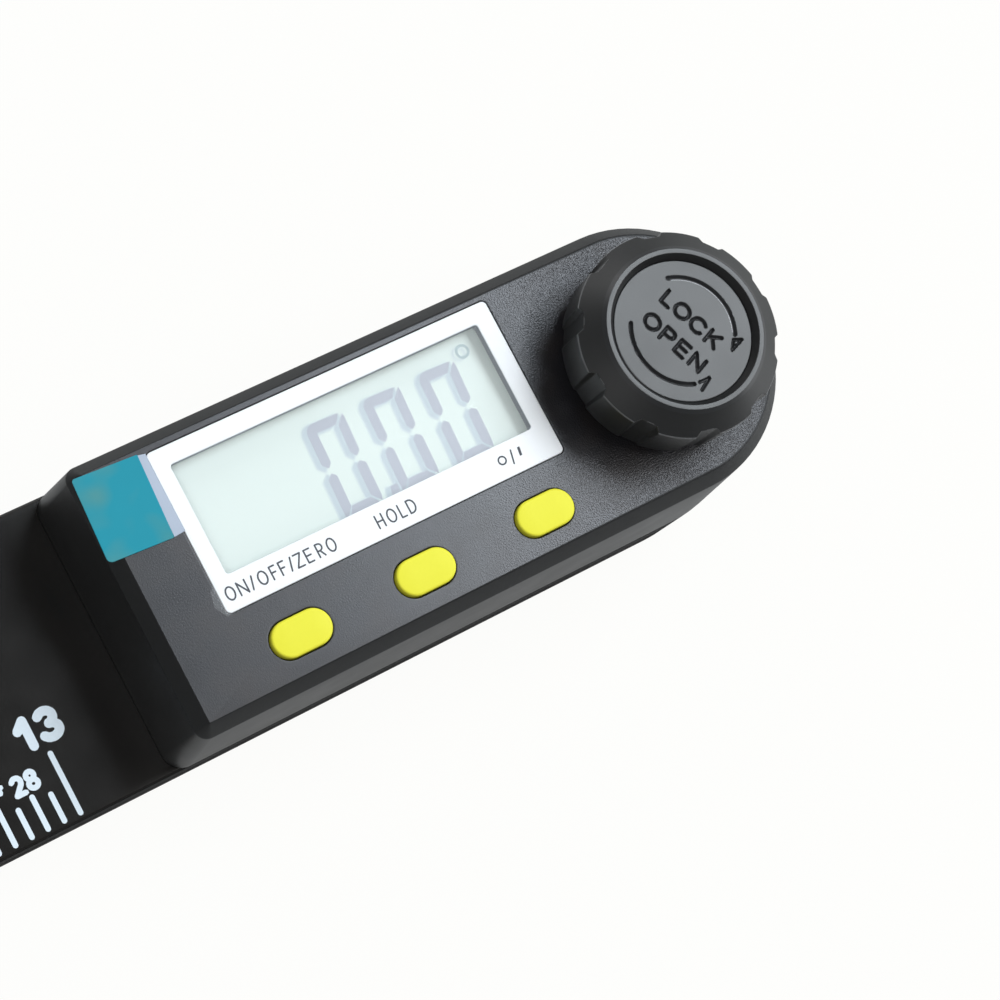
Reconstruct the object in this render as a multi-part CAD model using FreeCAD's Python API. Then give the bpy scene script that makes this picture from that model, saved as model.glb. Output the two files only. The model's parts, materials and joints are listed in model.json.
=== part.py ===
import FreeCAD, Part
import math
import os

V = FreeCAD.Vector

# The tool lies closed on its back. The origin is on the pivot axis at the lower arm's underside, +X points
# to the knob's end, +Y is up on the display and +Z is up. All lengths are in millimetres.

# Arms
arm_width = 27.6
arm_thickness = 3.9
arm_reach = 394.0
arm_corner = 1.5
arm_edge = 0.3
arm_gap = 0.2

# Head cover
head_height = 12.6
head_foot_left = 55.1
head_draft = 0.72
head_corner = 2.6
rim_drop = 1.5
rim_inset = 1.14
cover_wall = 1.5
cover_roof = 1.6
pivot_boss_wall = 2.8
pivot_boss_length = 5.4
least_corner_share = 0.1

# Case screws and the pillars that they pass
screw_left_x = -50.2
screw_right_x = -10.6
screw_side_gap = 4.7
pillar_r = 1.7
pillar_height = 7.0
screw_r = 1.0
screw_head_r = 1.7
screw_head_height = 1.3
screw_bite = 2.6
screw_play = 0.15
screw_slot_width = 0.4
screw_slot_depth = 0.5

# Display bezel, pane, film and tab
bezel_left = -47.42
bezel_right = -12.22
bezel_side_gap = 2.48
bezel_key_gap = 4.24
bezel_thickness = 1.0
bezel_corner = 0.5
bezel_play = 0.12
bezel_ledge = 1.4
bezel_left_border = 1.57
bezel_right_border = 1.81
bezel_low_border = 3.19
bezel_high_border = 1.75
pane_thickness = 0.7
pane_drop = 0.15
film_thickness = 0.08
film_margin = 0.14
film_neck_length = 0.7
film_neck_rise = 0.03
tab_thickness = 0.12
tab_length = 6.15
tab_width = 7.6
tab_corner = 0.6
tab_turn_deg = -3.0

# Display panel and its mounting
lcd_thickness = 1.8
lcd_margin = 0.6
lcd_foot = 2.1
reflector_thickness = 0.2
reflector_margin = 0.3
holder_wall = 0.9
holder_play = 0.1
zebra_depth = 1.6
zebra_end_margin = 1.5

# Main board
board_thickness = 1.0
board_left = -52.0
board_right = -12.4
board_side_gap = 2.8
board_post_x = -14.2
board_post_inset = 2.4
board_post_r = 1.2
chip_size = 6.0
chip_height = 1.1
chip_x = -21.0
chip_y = 3.5
crystal_length = 5.0
crystal_r = 0.9
crystal_x = -20.0
crystal_y = -3.5
header_x = -13.6
header_width = 1.8
header_length = 8.0
header_pin = 0.5
header_pin_count = 5

# Buttons and keypad
button_first_x = -42.4
button_pitch = 12.75
button_side_gap = 5.23
button_length = 5.8
button_width = 3.4
button_proud = 0.6
button_edge = 0.4
button_play = 0.15
button_travel = 0.6
flange_reach = 0.6
flange_height = 0.6
pill_r = 1.2
pill_height = 0.3
pill_air = 0.1
web_height = 0.7
web_margin = 1.0

# Battery, its well, contacts and cover
well_side_gap = 2.4
cell_height = 3.2
cell_x = -38.0
cell_play = 0.3
cell_lift = 0.1
well_wall = 1.1
well_head_room = 1.6
well_roof = 0.8
cover_disc_reach = 0.9
cover_disc_height = 1.4
cover_pad_r = 6.0
cover_play = 0.1
lug_angle_deg = 24.0
lug_height = 0.9
lug_ledge = 0.5
lug_reach = 0.7
lug_rim = 1.4
entry_play_deg = 2.0
lug_air = 0.1
cover_turn_deg = 35.0
coin_slot_width = 1.8
coin_slot_length = 13.0
coin_slot_depth = 0.7
contact_thickness = 0.3
contact_width = 3.0
contact_reach = 3.5
contact_tail = 5.5

# Pivot, angle sensor and clip
stud_r = 2.5
stud_head_reach = 1.5
stud_head_height = 2.0
stud_skin = 0.9
stud_play = 0.03
stud_flat_share = 0.8
bush_wall = 1.5
bush_rise = 1.0
stator_r = 8.0
stator_thickness = 0.8
stator_bush_air = 0.6
stator_lift = 0.3
stator_tongue_left = -14.9
stator_tongue_half = 4.6
stator_seat_width = 1.0
rotor_rim_inset = 0.4
rotor_thickness = 0.8
rotor_air = 0.4
hub_wall = 1.1
hub_height = 2.4
hub_air = 0.1
spring_width = 0.9
spring_bore_play = 0.1
spring_height = 0.6
spring_thickness = 0.3
clip_reach = 2.1
clip_height = 0.6
clip_groove = 0.5
clip_mouth = 3.2
washer_side_gap = 3.3
washer_bore_air = 1.1

# Lock knob
thrust_width = 4.3
thrust_thickness = 0.6
collar_r = 6.5
collar_height = 1.2
skirt_r = 9.5
shoulder_r = 9.75
skirt_height = 5.1
crown_height = 1.8
crown_r = 7.65
crown_ring = 0.55
crown_edge = 0.15
dish_depth = 0.7
dish_r = 6.65
cap_thickness = 1.1
lobe_count = 10
valley_phase_deg = 4.9
valley_depth = 0.5
valley_half_width = 1.2
nut_wall = 1.5
nut_height = 4.2
nut_play = 0.05
nut_floor = 1.4
stud_end_air = 0.3
knob_bore_play = 0.2

# One overrun serves every cut
overrun = 1.0

# Levels worked out from the sizes above
lower_top = arm_thickness
upper_low = lower_top + arm_gap
upper_top = upper_low + arm_thickness
head_top = upper_top + head_height
rim_foot = head_top - rim_drop
roof_low = head_top - cover_roof
pillar_top = upper_top + pillar_height
board_top = pillar_top + board_thickness
bezel_floor = head_top - bezel_thickness
thrust_low = head_top
knob_low = thrust_low + thrust_thickness
skirt_low = knob_low + collar_height
shoulder_z = skirt_low + skirt_height
crown_z = shoulder_z + crown_height
dish_z = crown_z - dish_depth
screw_end = board_top + screw_bite

# Places across the arm, worked out from its width
half_width = arm_width / 2
button_y = button_side_gap - half_width
bezel_low = button_y + bezel_key_gap
bezel_high = half_width - bezel_side_gap
window_left = bezel_left + bezel_left_border
window_right = bezel_right - bezel_right_border
window_low = bezel_low + bezel_low_border
window_high = bezel_high - bezel_high_border
film_neck_low = bezel_high + film_neck_rise - tab_width
board_half_width = half_width - board_side_gap
board_post_y = board_half_width - board_post_inset
screw_y = half_width - screw_side_gap
washer_r = half_width - washer_side_gap

# Radii of the angle sensor, and those that follow the stud
rotor_r = stator_r - rotor_rim_inset
stator_hole_r = stud_r + bush_wall + stator_bush_air
hub_r = stud_r + hub_wall
spring_r = stud_r + spring_bore_play + spring_width
clip_r = stud_r + clip_reach
washer_hole_r = stud_r + washer_bore_air
thrust_r = stud_r + thrust_width + knob_bore_play
stud_head_flats = 2 * (stud_r + stud_head_reach)
nut_flats = 2 * (stud_r + nut_wall)


def blade_outline(left, half, corner, z):
    """Closed wire: square left end with rounded corners, right end a half circle about the pivot."""
    bend = corner * (1 - math.sqrt(0.5))
    low_left = V(left, -half + corner, z)
    low_start = V(left + corner, -half, z)
    high_start = V(left + corner, half, z)
    high_left = V(left, half - corner, z)
    low_bend = V(left + bend, -half + bend, z)
    high_bend = V(left + bend, half - bend, z)
    edges = [
        Part.LineSegment(high_left, low_left).toShape(),
        Part.Arc(low_left, low_bend, low_start).toShape(),
        Part.LineSegment(low_start, V(0, -half, z)).toShape(),
        Part.Arc(V(0, -half, z), V(half, 0, z), V(0, half, z)).toShape(),
        Part.LineSegment(V(0, half, z), high_start).toShape(),
        Part.Arc(high_start, high_bend, high_left).toShape(),
    ]
    return Part.Wire(edges)


def loft_between(wires):
    """Solid with straight sides through a list of matching wires."""
    return Part.makeLoft(wires, True, True)


def arm_section(inset, z):
    """Outline of an arm, drawn in by an inset."""
    return blade_outline(inset - arm_reach, half_width - inset, arm_corner, z)


def arm_blade(low):
    """Flat arm with its small edge chamfers, standing on the level low."""
    high = low + arm_thickness
    foot = loft_between([arm_section(arm_edge, low), arm_section(0, low + arm_edge)])
    body = loft_between([arm_section(0, low + arm_edge), arm_section(0, high - arm_edge)])
    top = loft_between([arm_section(0, high - arm_edge), arm_section(arm_edge, high)])
    return foot.fuse([body, top]).removeSplitter()


def head_section(inset, z):
    """Outline of the head, drawn in by an inset from its foot."""
    corner = max(head_corner - inset, head_corner * least_corner_share)
    return blade_outline(inset - head_foot_left, half_width - inset, corner, z)


def drum(radius, low, high, x=0, y=0):
    """Upright cylinder between two levels."""
    return Part.makeCylinder(radius, high - low, V(x, y, low))


def ring(outer, inner, low, high, x=0, y=0):
    """Upright tube between two levels."""
    return drum(outer, low, high, x, y).cut(drum(inner, low - overrun, high + overrun, x, y))


def block(x_low, x_high, y_low, y_high, z_low, z_high):
    """Box between its two corners."""
    return Part.makeBox(x_high - x_low, y_high - y_low, z_high - z_low, V(x_low, y_low, z_low))


def rounded_block(x_low, x_high, y_low, y_high, z_low, z_high, corner):
    """Box with rounded upright edges."""
    solid = block(x_low, x_high, y_low, y_high, z_low, z_high)
    middle = (z_low + z_high) / 2
    upright = [e for e in solid.Edges if abs(e.CenterOfMass.z - middle) < (z_high - z_low) / 4]
    return solid.makeFillet(corner, upright)


def hexagon(flats, low, high):
    """Upright hexagonal prism about the pivot axis."""
    reach = flats / 2 / math.cos(math.radians(30))
    points = []
    for step in range(7):
        angle = math.radians(60 * step)
        points.append(V(reach * math.cos(angle), reach * math.sin(angle), low))
    face = Part.Face(Part.makePolygon(points))
    return face.extrude(V(0, 0, high - low))


def stadium(length, width, low, high, x, y):
    """Upright solid with two half-round ends along X."""
    half = (length - width) / 2
    middle = block(x - half, x + half, y - width / 2, y + width / 2, low, high)
    ends = [drum(width / 2, low, high, x - half, y), drum(width / 2, low, high, x + half, y)]
    return middle.fuse(ends).removeSplitter()


def screw_places():
    """Centres of the four case screws: two by the square end, two between the display and the pivot."""
    return [(x, side * screw_y) for x in (screw_left_x, screw_right_x) for side in (-1, 1)]


def button_places():
    """X of each button's centre, from the square end to the knob."""
    return [button_first_x + button_pitch * place for place in range(3)]


# Levels of the battery well
cover_seat = upper_low + cover_disc_height
lug_low = cover_seat + lug_ledge
lug_high = lug_low + lug_height + 2 * lug_air
cell_low = lug_high + cell_lift
cell_high = cell_low + cell_height
well_top = cell_high + well_head_room
well_outer_r = half_width - well_side_gap
well_inner_r = well_outer_r - well_wall
cell_r = well_inner_r - cell_play
cover_disc_r = well_inner_r + cover_disc_reach
lug_r = well_inner_r + lug_reach

# Levels of the pivot stack
bush_top = upper_top + bush_rise
stator_low = upper_top + stator_lift
stator_top = stator_low + stator_thickness
rotor_low = stator_top + rotor_air
hub_low = bush_top + hub_air
hub_top = hub_low + hub_height
spring_top = hub_top + spring_height
clip_top = spring_top + clip_height
nut_low = knob_low + nut_floor
nut_top = nut_low + nut_height
cap_low = dish_z - cap_thickness
stud_top = cap_low - stud_end_air


def lug_sector(inner, outer, low, high, start_deg, sweep_deg):
    """Piece of a ring about the battery's centre."""
    whole = ring(outer, inner, low, high, cell_x)
    reach = 2 * outer
    start = math.radians(start_deg)
    end = math.radians(start_deg + sweep_deg)
    centre = V(cell_x, 0, low - overrun)
    first = centre + V(reach * math.cos(start), reach * math.sin(start), 0)
    last = centre + V(reach * math.cos(end), reach * math.sin(end), 0)
    wedge = Part.Face(Part.makePolygon([centre, first, last, centre]))
    wedge = wedge.extrude(V(0, 0, high - low + 2 * overrun))
    return whole.common(wedge)


def stator_seat():
    """Low rib on the upper arm that carries the sensor board."""
    return ring(stator_r, stator_r - stator_seat_width, upper_top - arm_edge, stator_low)


def upper_arm():
    """Upper blade with the base of the head: pillars, posts, battery well and pivot hole."""
    arm = arm_blade(upper_low)
    adds = [drum(pillar_r, upper_top - arm_edge, pillar_top, x, y) for x, y in screw_places()]
    for side in (-1, 1):
        adds.append(drum(board_post_r, upper_top - arm_edge, pillar_top, board_post_x, side * board_post_y))
    adds.append(drum(well_outer_r, upper_top - arm_edge, well_top + well_roof, cell_x))
    adds.append(stator_seat())
    arm = arm.fuse(adds).removeSplitter()
    cuts = [drum(stud_r + bush_wall, upper_low - overrun, upper_top + overrun)]
    for x, y in screw_places():
        cuts.append(drum(screw_r + screw_play, upper_low - overrun, pillar_top + overrun, x, y))
        head_room = screw_head_height + 2 * screw_play
        cuts.append(drum(screw_head_r + screw_play, upper_low - overrun, upper_low + head_room, x, y))
    cuts.append(drum(cover_disc_r + cover_play, upper_low - overrun, cover_seat, cell_x))
    cuts.append(drum(well_inner_r, cover_seat - overrun, well_top, cell_x))
    cuts.append(drum(lug_r + lug_air, lug_low, lug_high, cell_x))
    for side in (0, 180):
        entry = side - cover_turn_deg - lug_angle_deg / 2 - entry_play_deg
        sweep = lug_angle_deg + 2 * entry_play_deg
        cuts.append(lug_sector(well_inner_r - lug_rim, lug_r + lug_air, cover_seat - overrun, lug_high,
                               entry, sweep))
    for cut in contact_passages():
        cuts.append(cut)
    for cut in cuts:
        arm = arm.cut(cut)
    return arm


def lower_arm():
    """Lower blade with the stud's head moulded in."""
    return arm_blade(0).cut(pivot_stud())


def head_cover():
    """Top housing: drafted walls, chamfered rim, window recess, button holes, screw and pivot bosses."""
    shell = loft_between([head_section(0, upper_top), head_section(head_draft, rim_foot)])
    top_outline = head_section(head_draft + rim_inset, head_top)
    crown = loft_between([head_section(head_draft, rim_foot), top_outline])
    shell = shell.fuse(crown).removeSplitter()
    roof_inset = cover_wall + head_draft
    room = loft_between([head_section(cover_wall, upper_top), head_section(roof_inset, roof_low)])
    below = head_section(cover_wall, upper_top - overrun)
    mouth = loft_between([below, head_section(cover_wall, upper_top)])
    shell = shell.cut(room.fuse(mouth))
    bosses = [drum(stud_r + knob_bore_play + pivot_boss_wall, roof_low - pivot_boss_length, roof_low)]
    for place, (x, y) in enumerate(screw_places()):
        foot = board_top if place < 2 else pillar_top
        bosses.append(drum(pillar_r, foot, roof_low, x, y))
    shell = shell.fuse(bosses).removeSplitter()
    recess = rounded_block(bezel_left - bezel_play, bezel_right + bezel_play, bezel_low - bezel_play,
                           bezel_high + bezel_play, bezel_floor, head_top + overrun,
                           bezel_corner + bezel_play)
    opening = block(bezel_left + bezel_ledge, bezel_right - bezel_ledge, bezel_low + bezel_ledge,
                    bezel_high - bezel_ledge, roof_low - overrun, head_top)
    bore = drum(stud_r + knob_bore_play, roof_low - 2 * pivot_boss_length, head_top + overrun)
    cuts = [recess, opening, bore]
    for place, (x, y) in enumerate(screw_places()):
        foot = board_top if place < 2 else pillar_top
        cuts.append(drum(screw_r, foot - overrun, screw_end + screw_play, x, y))
    for x in button_places():
        cuts.append(stadium(button_length + 2 * button_play, button_width + 2 * button_play,
                            roof_low - overrun, head_top + overrun, x, button_y))
    for cut in cuts:
        shell = shell.cut(cut)
    return shell


def bent_strip(points, thickness, width, y):
    """Thin strip that follows a line of (x, z) points, as wide as given along Y."""
    offsets = []
    for place, (x, z) in enumerate(points):
        before = points[max(place - 1, 0)]
        after = points[min(place + 1, len(points) - 1)]
        first = V(x - before[0], 0, z - before[1])
        last = V(after[0] - x, 0, after[1] - z)
        first = first if first.Length > 0 else last
        last = last if last.Length > 0 else first
        first.normalize()
        last.normalize()
        normal = V(-first.z - last.z, 0, first.x + last.x)
        normal.normalize()
        mitre = thickness / 2 / (normal.dot(V(-first.z, 0, first.x)))
        offsets.append(normal.multiply(mitre))
    low = y - width / 2
    one_side = [V(x, low, z).add(o) for (x, z), o in zip(points, offsets)]
    other_side = [V(x, low, z).sub(o) for (x, z), o in zip(points, offsets)]
    outline = one_side + other_side[::-1] + one_side[:1]
    return Part.Face(Part.makePolygon(outline)).extrude(V(0, width, 0))


def contact_passages():
    """Slots in the battery well for the tails of the two contacts."""
    half = contact_width / 2 + cover_play
    minus_x = cell_x + contact_tail
    plus_x = cell_x - cell_r - contact_thickness / 2
    reach = contact_thickness / 2 + cover_play
    high = well_top + well_roof + overrun
    return [
        block(minus_x - reach, minus_x + reach, -half, half, well_top - overrun, high),
        block(plus_x - reach, plus_x + reach, -half, half, cell_low, high),
    ]


def display_bezel():
    """White frame plate round the display window."""
    plate = rounded_block(bezel_left, bezel_right, bezel_low, bezel_high, bezel_floor, head_top,
                          bezel_corner)
    hole = block(window_left, window_right, window_low, window_high, bezel_floor - overrun,
                 head_top + overrun)
    return plate.cut(hole)


def display_pane():
    """Clear pane set in the bezel's window."""
    high = head_top - pane_drop
    return block(window_left, window_right, window_low, window_high, high - pane_thickness, high)


def screen_film():
    """Clear protective film over the bezel, with the narrow neck that carries its tab."""
    left = bezel_left - film_margin
    right = bezel_right + film_margin
    sheet = block(left, right, bezel_low - film_margin, bezel_high + film_margin, head_top,
                  head_top + film_thickness)
    neck = block(left - film_neck_length, left, film_neck_low, film_neck_low + tab_width, head_top,
                 head_top + film_thickness)
    return sheet.fuse(neck).removeSplitter()


def film_tab():
    """Opaque pull tab at the end of the film, stuck on a little askew."""
    right = bezel_left - film_margin - film_neck_length
    tab = rounded_block(right - tab_length, right, film_neck_low, film_neck_low + tab_width, head_top,
                        head_top + tab_thickness, tab_corner)
    tab.rotate(V(right, film_neck_low + tab_width / 2, head_top), V(0, 0, 1), tab_turn_deg)
    tab.translate(V(-math.sin(math.radians(abs(tab_turn_deg))) * tab_width / 2, 0, 0))
    return tab


# Edges of the display panel, worked out from the window
lcd_left = window_left - lcd_margin
lcd_right = window_right + lcd_margin
lcd_low = window_low - lcd_foot
lcd_high = window_high + lcd_margin
lcd_back = roof_low - lcd_thickness
reflector_back = lcd_back - reflector_thickness


def lcd_panel():
    """Two glass layers of the display, pressed up against the roof."""
    return block(lcd_left, lcd_right, lcd_low, lcd_high, lcd_back, roof_low)


def lcd_reflector():
    """Pale sheet behind the display."""
    margin = reflector_margin
    return block(window_left - margin, window_right + margin, window_low - margin, window_high + margin,
                 reflector_back, lcd_back)


def zebra_place():
    """Low and high Y of the elastomer connector, under the panel's foot."""
    high = window_low - reflector_margin - holder_play
    return high - zebra_depth + holder_play, high


def zebra_strip():
    """Elastomer connector between the main board and the display's foot."""
    low, high = zebra_place()
    return block(lcd_left + zebra_end_margin, lcd_right - zebra_end_margin, low + holder_play,
                 high - holder_play, board_top, lcd_back)


def lcd_holder():
    """Tray that keeps display, reflector and connector in place on the board."""
    play = holder_play
    reach = play + holder_wall
    tray = block(lcd_left - reach, lcd_right + reach, lcd_low - reach, lcd_high + reach, board_top, roof_low)
    room = block(lcd_left - play, lcd_right + play, lcd_low - play, lcd_high + play, reflector_back,
                 roof_low + overrun)
    low, high = zebra_place()
    slot = block(lcd_left + zebra_end_margin, lcd_right - zebra_end_margin, low, high, board_top - overrun,
                 lcd_back)
    return tray.cut(room).cut(slot)


def main_board():
    """Main circuit board with its screw holes."""
    board = block(board_left, board_right, -board_half_width, board_half_width, pillar_top, board_top)
    for x, y in screw_places()[:2]:
        board = board.cut(drum(screw_r + screw_play, pillar_top - overrun, board_top + overrun, x, y))
    return board


def controller_chip():
    """Controller under the main board."""
    half = chip_size / 2
    return rounded_block(chip_x - half, chip_x + half, chip_y - half, chip_y + half,
                         pillar_top - chip_height, pillar_top, chip_height / 2)


def crystal():
    """Clock crystal under the main board: a small can on its side."""
    half = crystal_length / 2
    start = V(crystal_x - half, crystal_y, pillar_top - crystal_r)
    return Part.makeCylinder(crystal_r, crystal_length, start, V(1, 0, 0))


def board_header():
    """Pin strip from the sensor board up to the main board."""
    half = header_length / 2
    base_high = stator_top + header_width
    side = header_width / 2
    strip = block(header_x - side, header_x + side, -half, half, stator_top, base_high)
    pins = []
    for place in range(header_pin_count):
        y = -half + header_length * (place + 0.5) / header_pin_count
        pins.append(block(header_x - header_pin / 2, header_x + header_pin / 2, y - header_pin / 2,
                          y + header_pin / 2, base_high - header_pin, pillar_top))
    return strip.fuse(pins).removeSplitter()


# Levels of the buttons
web_low = roof_low - web_height
flange_low = web_low - flange_height
pill_low = board_top + button_travel + pill_air
pill_top = pill_low + pill_height


def button(x):
    """Yellow key: rounded cap, flange under the keypad web and a stem down to its contact pill."""
    top = head_top + button_proud
    cap = stadium(button_length, button_width, web_low - flange_height / 2, top, x, button_y)
    rim = [e for e in cap.Edges if abs(e.CenterOfMass.z - top) < button_edge / 2]
    cap = cap.makeFillet(button_edge, rim)
    flange = stadium(button_length + 2 * flange_reach, button_width + 2 * flange_reach, flange_low,
                     web_low, x, button_y)
    stem = drum(pill_r, pill_top, flange_low + flange_height / 2, x, button_y)
    return cap.fuse([flange, stem]).removeSplitter()


def carbon_pill(x):
    """Carbon contact at the foot of a key."""
    return drum(pill_r, pill_low, pill_top, x, button_y)


def keypad_web():
    """Silicone web under the roof that the three keys come up through."""
    reach_x = button_length / 2 + web_margin
    reach_y = button_width / 2 + web_margin
    places = button_places()
    web = block(places[0] - reach_x, places[-1] + reach_x, button_y - reach_y, button_y + reach_y, web_low,
                roof_low)
    for x in places:
        web = web.cut(stadium(button_length + 2 * button_play, button_width + 2 * button_play,
                              web_low - overrun, roof_low + overrun, x, button_y))
    return web


def battery_cell():
    """Coin cell."""
    return drum(cell_r, cell_low, cell_high, cell_x)


def battery_contact_minus():
    """Leaf under the well's roof that presses on the middle of the cell."""
    half = contact_thickness / 2
    level = well_top - half
    touch = cell_high + half
    points = [
        (cell_x + contact_tail, pillar_top),
        (cell_x + contact_tail, level),
        (cell_x + contact_reach, level),
        (cell_x - contact_reach / 2, touch),
        (cell_x - contact_reach, touch),
    ]
    return bent_strip(points, contact_thickness, contact_width, 0)


def battery_contact_plus():
    """Upright strip that touches the rim of the cell."""
    x = cell_x - cell_r - contact_thickness / 2
    points = [(x, cell_low + contact_thickness), (x, pillar_top)]
    return bent_strip(points, contact_thickness, contact_width, 0)


def battery_cover():
    """Round cover with a coin slot, a pad under the cell and two bayonet lugs."""
    cover = drum(cover_disc_r, upper_low, cover_seat, cell_x)
    cover = cover.fuse(drum(cover_pad_r, cover_seat - overrun / 2, cell_low, cell_x))
    lug_top = lug_low + lug_air + lug_height
    inner = well_inner_r - lug_rim
    for side in (0, 180):
        start = side - lug_angle_deg / 2
        neck_r = well_inner_r - lug_air
        neck = lug_sector(inner, neck_r, cover_seat - overrun / 2, lug_top, start, lug_angle_deg)
        lug = lug_sector(inner, lug_r, lug_low + lug_air, lug_top, start, lug_angle_deg)
        cover = cover.fuse([neck, lug])
    cover = cover.removeSplitter()
    half = coin_slot_length / 2
    side = coin_slot_width / 2
    slot = block(cell_x - half, cell_x + half, -side, side, upper_low - overrun, upper_low + coin_slot_depth)
    return cover.cut(slot)


def pivot_bush():
    """Plain bearing pressed into the upper arm."""
    return ring(stud_r + bush_wall, stud_r + stud_play, upper_low, bush_top)


def encoder_stator():
    """Fixed ring of the angle sensor, with a tongue for its pin strip."""
    plate = drum(stator_r, stator_low, stator_top)
    tongue = block(stator_tongue_left, 0, -stator_tongue_half, stator_tongue_half, stator_low, stator_top)
    plate = plate.fuse(tongue).removeSplitter()
    return plate.cut(drum(stator_hole_r, stator_low - overrun, stator_top + overrun))


def encoder_rotor():
    """Turning disc of the angle sensor."""
    return ring(rotor_r, hub_r, rotor_low, rotor_low + rotor_thickness)


def stud_flat(low, high):
    """What the flat takes off one side of the stud."""
    start = stud_r * stud_flat_share
    return block(-2 * stud_r, 2 * stud_r, start, 2 * stud_r, low, high)


def rotor_hub():
    """Hub that carries the disc and is keyed to the stud's flat."""
    keyed = drum(stud_r, hub_low - overrun, hub_top + overrun)
    keyed = keyed.cut(stud_flat(hub_low - 2 * overrun, hub_top + 2 * overrun))
    return drum(hub_r, hub_low, hub_top).cut(keyed)


def spring_washer():
    """Cone-shaped spring washer over the hub."""
    bore = stud_r + spring_bore_play
    points = [
        V(spring_r, 0, hub_top),
        V(spring_r, 0, hub_top + spring_thickness),
        V(bore, 0, spring_top),
        V(bore, 0, spring_top - spring_thickness),
        V(spring_r, 0, hub_top),
    ]
    return Part.Face(Part.makePolygon(points)).revolve(V(0, 0, 0), V(0, 0, 1), 360)


def stud_clip():
    """Open retaining clip in the stud's groove."""
    clip = ring(clip_r, stud_r - clip_groove, spring_top, clip_top)
    mouth = block(0, 2 * clip_r, -clip_mouth / 2, clip_mouth / 2, spring_top - overrun, clip_top + overrun)
    return clip.cut(mouth)


def pivot_stud():
    """Stud moulded into the lower arm: hexagonal head, keyed and grooved shank."""
    head = hexagon(stud_head_flats, stud_skin, stud_skin + stud_head_height)
    shank = drum(stud_r, stud_skin, stud_top)
    stud = head.fuse(shank).removeSplitter()
    stud = stud.cut(stud_flat(hub_low, spring_top))
    groove = ring(2 * stud_r, stud_r - clip_groove, spring_top, clip_top)
    return stud.cut(groove)


def arm_washer():
    """Low-friction washer between the arms."""
    return ring(washer_r, washer_hole_r, lower_top, upper_low)


def case_screws():
    """Four screws from the upper arm's underside into the cover's bosses."""
    screws = []
    low = upper_low + screw_play
    for x, y in screw_places():
        head = drum(screw_head_r, low, low + screw_head_height + screw_play, x, y)
        shank = drum(screw_r, low, screw_end, x, y)
        screw = head.fuse(shank).removeSplitter()
        half = screw_slot_width / 2
        across = block(x - screw_r, x + screw_r, y - half, y + half, low - overrun, low + screw_slot_depth)
        along = block(x - half, x + half, y - screw_r, y + screw_r, low - overrun, low + screw_slot_depth)
        screws.append(screw.cut(across).cut(along))
    return Part.makeCompound(screws)


def thrust_washer():
    """Washer that the knob bears on."""
    return ring(thrust_r, stud_r + knob_bore_play, thrust_low, knob_low)


def knob_profile():
    """Half section of the knob's outside and its dish."""
    ring_inner = crown_r - crown_ring
    return [
        V(0, 0, knob_low),
        V(collar_r, 0, knob_low),
        V(collar_r, 0, skirt_low),
        V(skirt_r, 0, skirt_low),
        V(shoulder_r, 0, shoulder_z),
        V(crown_r, 0, crown_z - crown_edge),
        V(crown_r, 0, crown_z),
        V(ring_inner, 0, crown_z),
        V(dish_r, 0, dish_z),
        V(dish_r, 0, cap_low),
        V(0, 0, cap_low),
        V(0, 0, knob_low),
    ]


def knob_valleys():
    """Shallow grip valleys round the skirt, cut by upright cylinders."""
    cutter_r = (valley_half_width ** 2 + valley_depth ** 2) / (2 * valley_depth)
    centre_r = shoulder_r - valley_depth + cutter_r
    cutters = []
    for place in range(lobe_count):
        angle = math.radians(valley_phase_deg + 360 * place / lobe_count)
        x = centre_r * math.cos(angle)
        y = centre_r * math.sin(angle)
        cutters.append(drum(cutter_r, skirt_low - overrun, crown_z + overrun, x, y))
    return cutters


def lock_knob():
    """Grip of the lock: scalloped skirt, cone, raised ring, dish and nut pocket."""
    knob = Part.Face(Part.makePolygon(knob_profile())).revolve(V(0, 0, 0), V(0, 0, 1), 360)
    for cutter in knob_valleys():
        knob = knob.cut(cutter)
    knob = knob.cut(hexagon(nut_flats + 2 * nut_play, nut_low, cap_low + overrun))
    return knob.cut(drum(stud_r + knob_bore_play, knob_low - overrun, nut_low + overrun))


def knob_nut():
    """Threaded insert in the knob, that runs on the stud."""
    bore = drum(stud_r + stud_play, nut_low - overrun, nut_top + overrun)
    return hexagon(nut_flats, nut_low, nut_top).cut(bore)


def knob_cap():
    """Disc that closes the knob and carries its lettering."""
    return drum(dish_r, cap_low, dish_z)


def all_parts():
    """Every sub-part by its name."""
    parts = {
        "upper_arm": upper_arm(),
        "lower_arm": lower_arm(),
        "head_cover": head_cover(),
        "display_bezel": display_bezel(),
        "display_pane": display_pane(),
        "screen_film": screen_film(),
        "film_tab": film_tab(),
        "lcd_panel": lcd_panel(),
        "lcd_reflector": lcd_reflector(),
        "lcd_holder": lcd_holder(),
        "zebra_strip": zebra_strip(),
        "main_board": main_board(),
        "controller_chip": controller_chip(),
        "crystal": crystal(),
        "board_header": board_header(),
        "keypad_web": keypad_web(),
        "battery_cell": battery_cell(),
        "battery_contact_minus": battery_contact_minus(),
        "battery_contact_plus": battery_contact_plus(),
        "battery_cover": battery_cover(),
        "pivot_bush": pivot_bush(),
        "encoder_stator": encoder_stator(),
        "encoder_rotor": encoder_rotor(),
        "rotor_hub": rotor_hub(),
        "spring_washer": spring_washer(),
        "stud_clip": stud_clip(),
        "pivot_stud": pivot_stud(),
        "arm_washer": arm_washer(),
        "case_screws": case_screws(),
        "thrust_washer": thrust_washer(),
        "lock_knob": lock_knob(),
        "knob_nut": knob_nut(),
        "knob_cap": knob_cap(),
    }
    for name, x in zip(("power", "hold", "unit"), button_places()):
        parts["button_" + name] = button(x)
        parts["pill_" + name] = carbon_pill(x)
    return parts


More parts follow.
